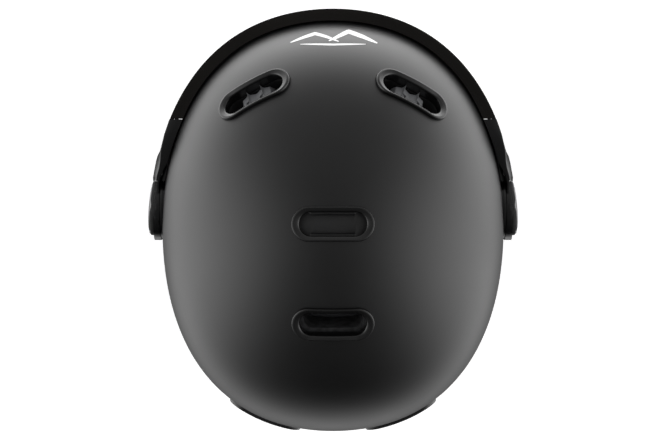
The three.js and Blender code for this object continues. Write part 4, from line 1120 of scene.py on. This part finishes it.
def refined(node, material, body, slot, width=0.6, segments=3):
    """A hard CAD part again, with its flat faces whole and its edges rounded."""
    source = frame["nodes"][node].data
    obj = bpy.data.objects.new(node + "_shown", source.copy())
    bpy.context.scene.collection.objects.link(obj)
    bm = bmesh.new()
    bm.from_mesh(obj.data)
    bmesh.ops.remove_doubles(bm, verts=bm.verts, dist=1e-6)
    bmesh.ops.dissolve_limit(bm, angle_limit=math.radians(2), verts=bm.verts, edges=bm.edges)
    bm.to_mesh(obj.data)
    bm.free()
    finish_piece(obj, material, body, node, slot)
    bevel(obj, width, segments, 30)


# ------------------------------------------------------------------ soft parts

def tube(path, radius, closed=True, sides=8):
    path = np.asarray(path, float)
    ahead = unit(np.roll(path, -1, 0) - np.roll(path, 1, 0) if closed else np.gradient(path, axis=0))
    up = unit(np.cross(ahead[0], (0.3, 0.5, 0.8)))
    sections = []
    for at, forward in zip(path, ahead):
        up = unit(up - forward * up.dot(forward))
        side = np.cross(forward, up)
        sections.append([at + a * up + b * side for a, b in circle(radius, sides)])
    return loft(sections, ring=closed)


def run_along(path):
    """The distance travelled at each point of a path."""
    return np.concatenate([[0], np.cumsum(np.linalg.norm(np.diff(path, axis=0), axis=1))])


def along(path, step, closed=True):
    """The same path, stepped evenly."""
    path = np.asarray(path, float)
    if closed:
        path = np.vstack([path, path[:1]])
    run = run_along(path)
    count = max(8, int(run[-1] / step))
    s = np.linspace(0, run[-1], count, endpoint=not closed)
    return np.stack([np.interp(s, run, path[:, k]) for k in range(3)], axis=-1)


def surface_hits(obj, path):
    """Where a path's points come down on a piece, and the normals there, in mm."""
    hits, normals = [], []
    for p in path:
        _, at, n, _ = obj.closest_point_on_mesh(Vector(to_metres(p)))
        hits.append(to_mm(at))
        normals.append(np.array(n))
    return np.array(hits), np.array(normals)


def press(obj, paths, width=1.6, depth=0.9):
    """Sews channels: sinks a piece's surface along paths."""
    mesh = obj.data
    co, normals = to_mm(read_vertices(mesh)), read_vertices(mesh, "normal")
    near = np.full(len(co), 1e9)
    for path in paths:
        for p in path:
            near = np.minimum(near, ((co - p) ** 2).sum(1))
    sink = depth * np.exp(-near / width ** 2)
    moved = to_metres(co - normals * sink[:, None])
    mesh.vertices.foreach_set("co", moved.astype(np.float32).ravel())
    mesh.update()


def add_part(obj, points, faces, material):
    """Adds more mesh to a piece, in another material."""
    extra = piece("part", points, faces, material, body=None)
    index = len(obj.data.materials)
    obj.data.materials.append(material)
    bm = bmesh.new()
    bm.from_mesh(obj.data)
    before = len(bm.faces)
    bm.from_mesh(extra.data)
    bm.faces.ensure_lookup_table()
    for face in bm.faces[before:]:
        face.material_index = index
        face.smooth = True
    bm.to_mesh(obj.data)
    bm.free()
    bpy.data.objects.remove(extra)


def stitch(obj, path, closed=True, pitch=3.4, length=2.2, radius=0.28, lift=0.1):
    """A row of stitches lying on a piece along a path."""
    fine = along(path, pitch, closed)
    hits, normals = surface_hits(obj, fine)
    ahead = unit(np.roll(hits, -1, 0) - hits)
    points, faces = [], []
    for i in range(len(hits) - 1):
        line_pts = [hits[i] + ahead[i] * length * s + normals[i] * (lift - 0.25 * abs(2 * s - 1) ** 3)
                    for s in (0, 0.2, 0.5, 0.8, 1)]
        p, f = tube(line_pts, radius, closed=False, sides=6)
        faces += [tuple(k + len(points) for k in face) for face in f]
        points += list(p)
    add_part(obj, points, faces, THREAD)


def swollen(obj, voxel, cap, shrink):
    """Puffs a pad up with a short cloth simulation. The result is kept in its mesh."""
    bm = bmesh.new()
    bm.from_mesh(obj.data)
    for v in bm.verts:
        v.co -= v.normal * shrink / 1000
    bm.to_mesh(obj.data)
    bm.free()
    step = obj.modifiers.new("remesh", "REMESH")
    step.mode = "VOXEL"
    step.voxel_size = voxel / 1000
    apply_modifiers(obj)
    start = read_vertices(obj.data)
    cloth = obj.modifiers.new("cloth", "CLOTH")
    cloth.settings.use_pressure = True
    cloth.settings.uniform_pressure_force = 4.0
    cloth.settings.effector_weights.gravity = 0
    cloth.settings.quality = 4
    cloth.settings.tension_stiffness = 20
    cloth.settings.compression_stiffness = 20
    cloth.collision_settings.use_collision = False
    scene = bpy.context.scene
    for number in range(1, 21):
        scene.frame_set(number)
    shift = read_vertices(obj.evaluated_get(bpy.context.evaluated_depsgraph_get()).data) - start
    size = np.linalg.norm(shift, axis=1, keepdims=True)
    end = start + shift * np.minimum(1, cap / 1000 / np.maximum(size, 1e-9))
    obj.modifiers.clear()
    obj.data.vertices.foreach_set("co", end.ravel())
    scene.frame_set(1)
    step = obj.modifiers.new("smooth", "SMOOTH")
    step.iterations = 4
    step.factor = 0.5
    step = obj.modifiers.new("subsurf", "SUBSURF")
    step.levels = step.render_levels = 1
    apply_modifiers(obj)
    shade(obj, 80)


def pad(node, material, seams, rim=None, voxel=3.0, cap=1.2, shrink=0.6, body="helmet", welt=0.8,
        depth=0.8):
    """A soft pad grown from its CAD solid. The first seam is closed; the welt runs round rim(u, t)."""
    obj = bpy.data.objects.new(node + "_soft", frame["nodes"][node].data.copy())
    bpy.context.scene.collection.objects.link(obj)
    obj.data.materials.clear()
    obj.data.materials.append(material)
    swollen(obj, voxel, cap, shrink)
    press(obj, [surface_hits(obj, along(path, 1.0, closed=(k == 0)))[0] for k, path in enumerate(seams)],
          depth=depth)
    if rim is not None:
        hits, _ = surface_hits(obj, along(loop_of(rim, 0.0), 2.0))
        add_part(obj, *tube(hits, welt), material)
    for k, path in enumerate(seams):
        stitch(obj, path, closed=(k == 0))
    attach(obj, body)
    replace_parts(obj, node)
    return obj


def seams_of(face, channels, margin=0.1):
    """A border seam inside a sheet's edge, and its sewn channels."""
    return [loop_of(face, margin)] + [[face(*c) for c in channel] for channel in channels]


def loop_of(face, margin):
    """The closed path at a margin inside a sheet's edge, its corners rounded."""
    corners = []
    radius, far = 0.14, 1 - margin
    for cu, ct, start in ((far, margin, -90), (far, far, 0), (margin, far, 90), (margin, margin, 180)):
        su, st = (-1 if cu > 0.5 else 1), (-1 if ct > 0.5 else 1)
        for k in range(6):
            a = math.radians(start + 90 * k / 5)
            corners.append((cu + su * radius + radius * math.cos(a), ct + st * radius + radius * math.sin(a)))
    path = []
    for i, (u0, t0) in enumerate(corners):
        u1, t1 = corners[(i + 1) % len(corners)]
        count = 6 if i % 6 == 5 else 1
        path += [(u0 + (u1 - u0) * k / count, t0 + (t1 - t0) * k / count) for k in range(count)]
    return [np.asarray(face(u, t)) for u, t in path]


def comfort_face(start, end, low, high, inset):
    def at(u, t):
        theta = math.radians(start + (end - start) * u)
        bottom = low(theta) if callable(low) else low
        return cavity_point(theta, cavity_angle(high + (bottom - high) * t), inset)
    return at


def ear_face(depth):
    def at(u, t):
        narrow = 1 - 0.32 * t ** 2.2
        theta = math.radians(-3 - 2.5 * t + 20 * narrow * (2 * u - 1))
        return side_point(theta, 81 * (1 - t), 9.9 + depth)
    return at


def columns(*places):
    """Channels that run down a sheet at places across it."""
    return [[(u, 0.12 + 0.095 * k) for k in range(9)] for u in places]


def make_pads():
    def brow(theta):
        return float(rim_height(theta)) + 9
    for node, area, across, margin in (("brow_pad", (-146, -34, brow, 150), (0.2, 0.4, 0.6, 0.8), 0.05),
                                       ("rear_pad", (48, 132, 78, 118), (0.25, 0.5, 0.75), 0.07),
                                       ("side_pad_right", (-20, 34, 104, 134), (0.5,), 0.1)):
        made = pad(node, LINING, seams_of(comfort_face(*area, 7.8), columns(*across), margin),
                   comfort_face(*area, 4.8))
    twin_pad(made, "side_pad_left")

    def crown(u, t):
        dx = 27 * t * math.cos(FULL_TURN * u) / CAVITY["x"]
        dy = (22 + 60 * t * math.sin(FULL_TURN * u)) / CAVITY["y"]
        return cavity_point(math.atan2(dy, dx), math.asin(math.hypot(dx, dy)), 6.8)
    cross = [[crown(a, s) if s >= 0 else crown(a + 0.5, -s) for s in np.linspace(-0.7, 0.7, 21)]
             for a in (0.0, 0.25)]
    pad("crown_pad", LINING, [[crown(k / 48, 0.82) for k in range(48)]] + cross, voxel=2.6, cap=1.0,
        shrink=0.5)

    disc = [(0.5 + 0.17 * math.cos(a), 0.45 + 0.13 * math.sin(a)) for a in np.linspace(0, FULL_TURN, 33)]
    made = pad("ear_pad_right", LEATHER, seams_of(ear_face(17), [disc], 0.14), ear_face(8.5),
               voxel=3.2,
               cap=2.0, shrink=1.0, welt=1.1, depth=1.5)
    twin_pad(made, "ear_pad_left")

    def nape(inset):
        def at(u, t):
            return yoke_point(math.radians(62 + 56 * u), inset) + [0, 0, 9 - 20 * t]
        return at
    pad("nape_pad", LINING, seams_of(nape(7.6), columns(0.33, 0.67)), nape(4.6), body="fit_ring")

    def chin(h):
        return lambda u, t: np.array([-60 + 24 * u, STRAP["y"] - 14 + 28 * t, h])
    pad("chin_pad", LINING, seams_of(chin(9.8), columns(0.5), 0.14), chin(5.2), welt=0.9, cap=0.9)


def twin_pad(obj, node):
    mirror_copy(obj, node, name=node + "_soft")


def yoke_point(angle, inset=0.0):
    """On the fit system's yoke, which dips behind the head."""
    x, y = (YOKE["x"] - inset) * math.cos(angle), YOKE["y"] + (YOKE["reach"] - inset) * math.sin(angle)
    return np.array([x, y, YOKE["z"] - YOKE["drop"] * math.sin(angle) ** 2])


# ------------------------------------------------------------------ straps

def catmull(points, count):
    """A smooth line through points (centripetal)."""
    pts = np.asarray(points, float)
    pts = np.vstack([2 * pts[0] - pts[1], pts, 2 * pts[-1] - pts[-2]])
    n = len(pts) - 3
    made = []
    for i in range(count + 1):
        s = i / count * n
        k = min(int(s), n - 1)
        p = pts[k:k + 4]
        t = [0.0]
        for a, b in zip(p[:-1], p[1:]):
            t.append(t[-1] + max(np.linalg.norm(b - a) ** 0.5, 1e-6))
        x = t[1] + (t[2] - t[1]) * (s - k)

        def mix(a, b, start, end):
            return a * (end - x) / (end - start) + b * (x - start) / (end - start)
        a1, a2, a3 = (mix(p[j], p[j + 1], t[j], t[j + 1]) for j in range(3))
        made.append(mix(mix(a1, a2, t[0], t[2]), mix(a2, a3, t[1], t[3]), t[1], t[2]))
    return np.array(made)


STRAP_INSET = THICKNESS + 1.4 + STRAP["thick"] / 2
STRAP_LOW = STRAP_INSET + STRAP["join"]


def beside_head(theta, z, inset=STRAP_LOW, slant=0.0):
    th = math.radians(theta)
    n = unit(shell_normal(shell_point(th, math.pi / 2)) * [1, 1, 0])
    return side_point(th, z, inset), np.array([-n[1], n[0], -slant])


def ribbon(name, stations, width, thick, material, slot="webbing", nodes=None, body="helmet", count=120):
    """A flat band through (point, direction across) stations."""
    at = catmull([s[0] for s in stations], count)
    across = unit(catmull([s[1] for s in stations], count))
    ahead = unit(np.gradient(at, axis=0))
    half = unit(across - ahead * (across * ahead).sum(1, keepdims=True))
    out = np.cross(ahead, half)
    run = run_along(at)
    w, t = width / 2, thick / 2
    section = rounded([(w, t), (w * 0.55, t * 0.94), (0, t * 0.94), (-w * 0.55, t * 0.94), (-w, t), (-w, -t),
                       (-w * 0.55, -t * 0.94), (0, -t * 0.94), (w * 0.55, -t * 0.94), (w, -t)], 0.45, 2)
    sections = [[at[i] + half[i] * a + out[i] * b for a, b in section] for i in range(len(at))]
    obj = piece(name, *loft(sections), material, body=body, nodes=nodes, slot=slot, smooth_angle=60)
    layer = obj.data.uv_layers.new(name="UVMap")
    for loop in obj.data.loops:
        i, k = divmod(loop.vertex_index, len(section))
        layer.data[loop.index].uv = (run[i] / 1000, section[k][0] / 1000)
    return obj, at, half


def make_straps():
    front, rear = ANCHORS
    y, z, thick = STRAP["y"], STRAP["z"], STRAP["thick"]

    def chin(name, tail, nodes=None):
        stations = [beside_head(front[0], front[1] + 9, STRAP_INSET),
                    beside_head(front[0], 78, STRAP_INSET + 2),
                    beside_head(-23.5, 55), beside_head(-26, 26), ((82.0, -48, 10), (0.3, 1, 0.35)),
                    ((70.0, -58, 2.8), (0.15, 1, 0.05)),
                    *[((x, y, z), (0, 1, 0)) for x in (62.0, 46.0, tail)]]
        obj, at, half = ribbon(name, stations, STRAP["width"], thick, WEBBING, nodes=nodes)
        box_stitch(obj, at, half, 2, 10)
        return obj
    chin("chin_strap_right", 6.0)
    longer = chin("chin_strap_long", 26.0, nodes=())
    mirror_copy(longer, "chin_strap_left")
    bpy.data.objects.remove(longer)
    stations = [beside_head(rear[0], rear[1] + 9, STRAP_INSET),
                beside_head(rear[0] - 0.5, 80, STRAP_INSET + 1.4),
                beside_head(rear[0] - 7, 63, STRAP_LOW, 0.6), beside_head(-14, 42, STRAP_LOW + 0.8, 1),
                beside_head(-24, 28, STRAP_LOW + thick + 1.3, 1)]
    obj, at, half = ribbon("rear_strap_right", stations, STRAP["width"] - 2, thick, WEBBING, count=70)
    box_stitch(obj, at, half, 60, 68)
    mirror_copy(obj, "rear_strap_left")


def box_stitch(obj, at, half, start, end):
    """A sewn box with a cross in it, between two places along a strap."""
    w = 6.0
    a, b = at[start] - half[start] * w, at[start] + half[start] * w
    c, d = at[end] + half[end] * w, at[end] - half[end] * w
    for p, q in ((a, b), (b, c), (c, d), (d, a), (a, c), (b, d)):
        stitch(obj, [p + (q - p) * s for s in np.linspace(0, 1, 8)], closed=False, pitch=2.6, length=1.9,
               radius=0.2)


# ------------------------------------------------------------------ fit system and buckle

def extrude_y(outline, y0, y1):
    return loft([[(x, y, z) for x, z in outline] for y in (y0, y1)])


def round_plate(width, height, radius, steps=12):
    made = []
    for cx, cz, start in ((1, -1, -90), (1, 1, 0), (-1, 1, 90), (-1, -1, 180)):
        x, z = cx * (width / 2 - radius), cz * (height / 2 - radius)
        for k in range(steps + 1):
            a = math.radians(start + 90 * k / steps)
            made.append((x + radius * math.cos(a), z + radius * math.sin(a)))
    return made


def make_fit():
    x, z, up = YOKE["x"], YOKE["z"], (0.0, 0, 1)
    arm = [((x, YOKE["front"], z), up), ((x, 15, z), up)]
    bend = [(yoke_point(i / 16 * math.pi), up) for i in range(17)]
    stations = arm + bend + [((-x, 15, z), up), ((-x, YOKE["front"], z), up)]
    ribbon("fit_yoke", stations, 12, 2, PLASTIC, "black_plastic", body="fit_ring", count=240)
    z, start = DIAL["z"], DIAL["start"]

    def bore(radius, steps, low):
        return tool(*extrude_y(circle(radius, steps, (0, z)), low, 120))
    outline = [(x, z + h) for x, h in round_plate(46, 34, 12)]
    housing = piece("fit_dial_housing", *extrude_y(outline, start, start + 6), PLASTIC, body="fit_ring",
                    slot="black_plastic")
    boolean(housing, "DIFFERENCE", bore(1.8, 32, 80))
    bevel(housing, 1.4, 5, 40)
    outline = []
    for i in range(240):
        a = i / 240 * FULL_TURN
        r = 14.3 + 0.7 * math.cos(10 * a)
        outline.append((r * math.cos(a), z + r * math.sin(a)))
    wheel = piece("fit_dial", *extrude_y(outline, start + 6.3, start + 15.3), RUBBER, body="fit_wheel",
                  slot="black_rubber")
    boolean(wheel, "DIFFERENCE", bore(2.2, 64, 80), bore(5, 64, start + 13.3))
    bevel(wheel, 0.9, 4, 40)
    refined("fit_dial_screw", STEEL, "fit_ring", "steel", 0.3, 2)
    for node, width in (("fit_guide_right", 0.6), ("fit_guide_left", 0.6), ("strap_keeper", 0.5),
                        ("buckle_socket", 0.7)):
        refined(node, PLASTIC, "helmet", "black_plastic", width)
    refined("buckle_plug", PLASTIC, "buckle_half", "black_plastic", 0.5)


# ------------------------------------------------------------------ floor and light

def make_floor():
    steps = 40
    mesh = bpy.data.meshes.new("floor")
    line_up = np.linspace(-3, 3, steps + 1)
    points = [(x, y, 0) for y in line_up for x in line_up]
    faces = [(j * (steps + 1) + i, j * (steps + 1) + i + 1, (j + 1) * (steps + 1) + i + 1,
              (j + 1) * (steps + 1) + i)
             for j in range(steps) for i in range(steps)]
    mesh.from_pydata(points, [], faces)
    floor = bpy.data.objects.new("floor", mesh)
    bpy.context.scene.collection.objects.link(floor)
    paint = plain("floor_paint", (0.86, 0.86, 0.86), (0.9, 0.9, 0.9), (0.7, 0.8), 200, 0.0001, blotch=3)
    glow = paint.node_tree.nodes["Principled BSDF"].inputs
    glow["Emission Color"].default_value = (1, 1, 1, 1)
    glow["Emission Strength"].default_value = 0.5
    floor.data.materials.append(paint)
    floor.visible_glossy = False
    floor.visible_shadow = False


def make_world():
    """Soft studio surround: bright at both sides and low in front, dim above and behind."""
    world = bpy.data.worlds.new("studio")
    bpy.context.scene.world = world
    world.use_nodes = True
    tree = world.node_tree
    m = Maths(tree)
    where = tree.nodes.new("ShaderNodeTexCoord")
    split = tree.nodes.new("ShaderNodeSeparateXYZ")
    link(tree, where.outputs["Generated"], split.inputs[0])
    x, y, z = split.outputs
    ax = m("ABSOLUTE", x)
    bearing = m("ARCTAN2", y, m("MAXIMUM", ax, 0.001))
    off = m("DIVIDE", m("SUBTRACT", bearing, 0.17), 0.49)
    lobe = m("EXPONENT", m("MULTIPLY", m("MULTIPLY", off, off), -0.5))
    side = m("MULTIPLY", m("MULTIPLY", m("MULTIPLY", ax, ax), 2.9), lobe)
    side = m("MULTIPLY", side, m.smooth(z, -0.97, -0.72))
    low = m("ADD", m("MULTIPLY", m.smooth(z, 0.35, -0.6), 3.9), 0.5)
    front = m("MULTIPLY", m("MAXIMUM", m("MULTIPLY", y, -1.0), 0.0), low)
    rear = m("MULTIPLY", m("MAXIMUM", y, 0.0), m("MULTIPLY", m.smooth(z, -0.3, -0.8), 1.6))
    lit = m("MULTIPLY", m("ADD", m("ADD", side, front), rear), m.smooth(z, -0.97, -0.82))
    total = m("ADD", lit, m("ADD", m("MULTIPLY", m("MAXIMUM", z, 0.0), 0.16), 0.03))
    seen = tree.nodes.new("ShaderNodeLightPath").outputs["Is Camera Ray"]
    strength = m("ADD", m("MULTIPLY", total, m("SUBTRACT", 1.0, seen)), m("MULTIPLY", seen, 0.93))
    link(tree, strength, tree.nodes["Background"].inputs["Strength"])
    tree.nodes["Background"].inputs["Color"].default_value = (1, 1, 1, 1)


def make_lights():
    data = bpy.data.lights.new("overhead", "AREA")
    data.shape = "DISK"
    data.size = 2.4
    data.energy = 20
    lamp = bpy.data.objects.new("overhead", data)
    lamp.location = (0, 0, 2.2)
    bpy.context.scene.collection.objects.link(lamp)
    lamp.visible_glossy = False


# ------------------------------------------------------------------ all of it

make_shell()
vent_bezel("crown_vent_bezel_front", CROWN_FRONT)
vent_bezel("crown_vent_bezel_rear", CROWN_REAR)
vent_bezel("brow_vent_bezel_right", BROW, "brow_vent_bezel_left")
vent_bezel("nape_vent_bezel_right", NAPE, "nape_vent_bezel_left")
brow_duct()
nape_grille()
shutter()
make_liner()
make_trim()
make_lens()
make_arm()
make_base()
make_knob()
make_fasteners()
make_straps()
make_fit()
make_pads()
make_floor()
make_world()
make_lights()
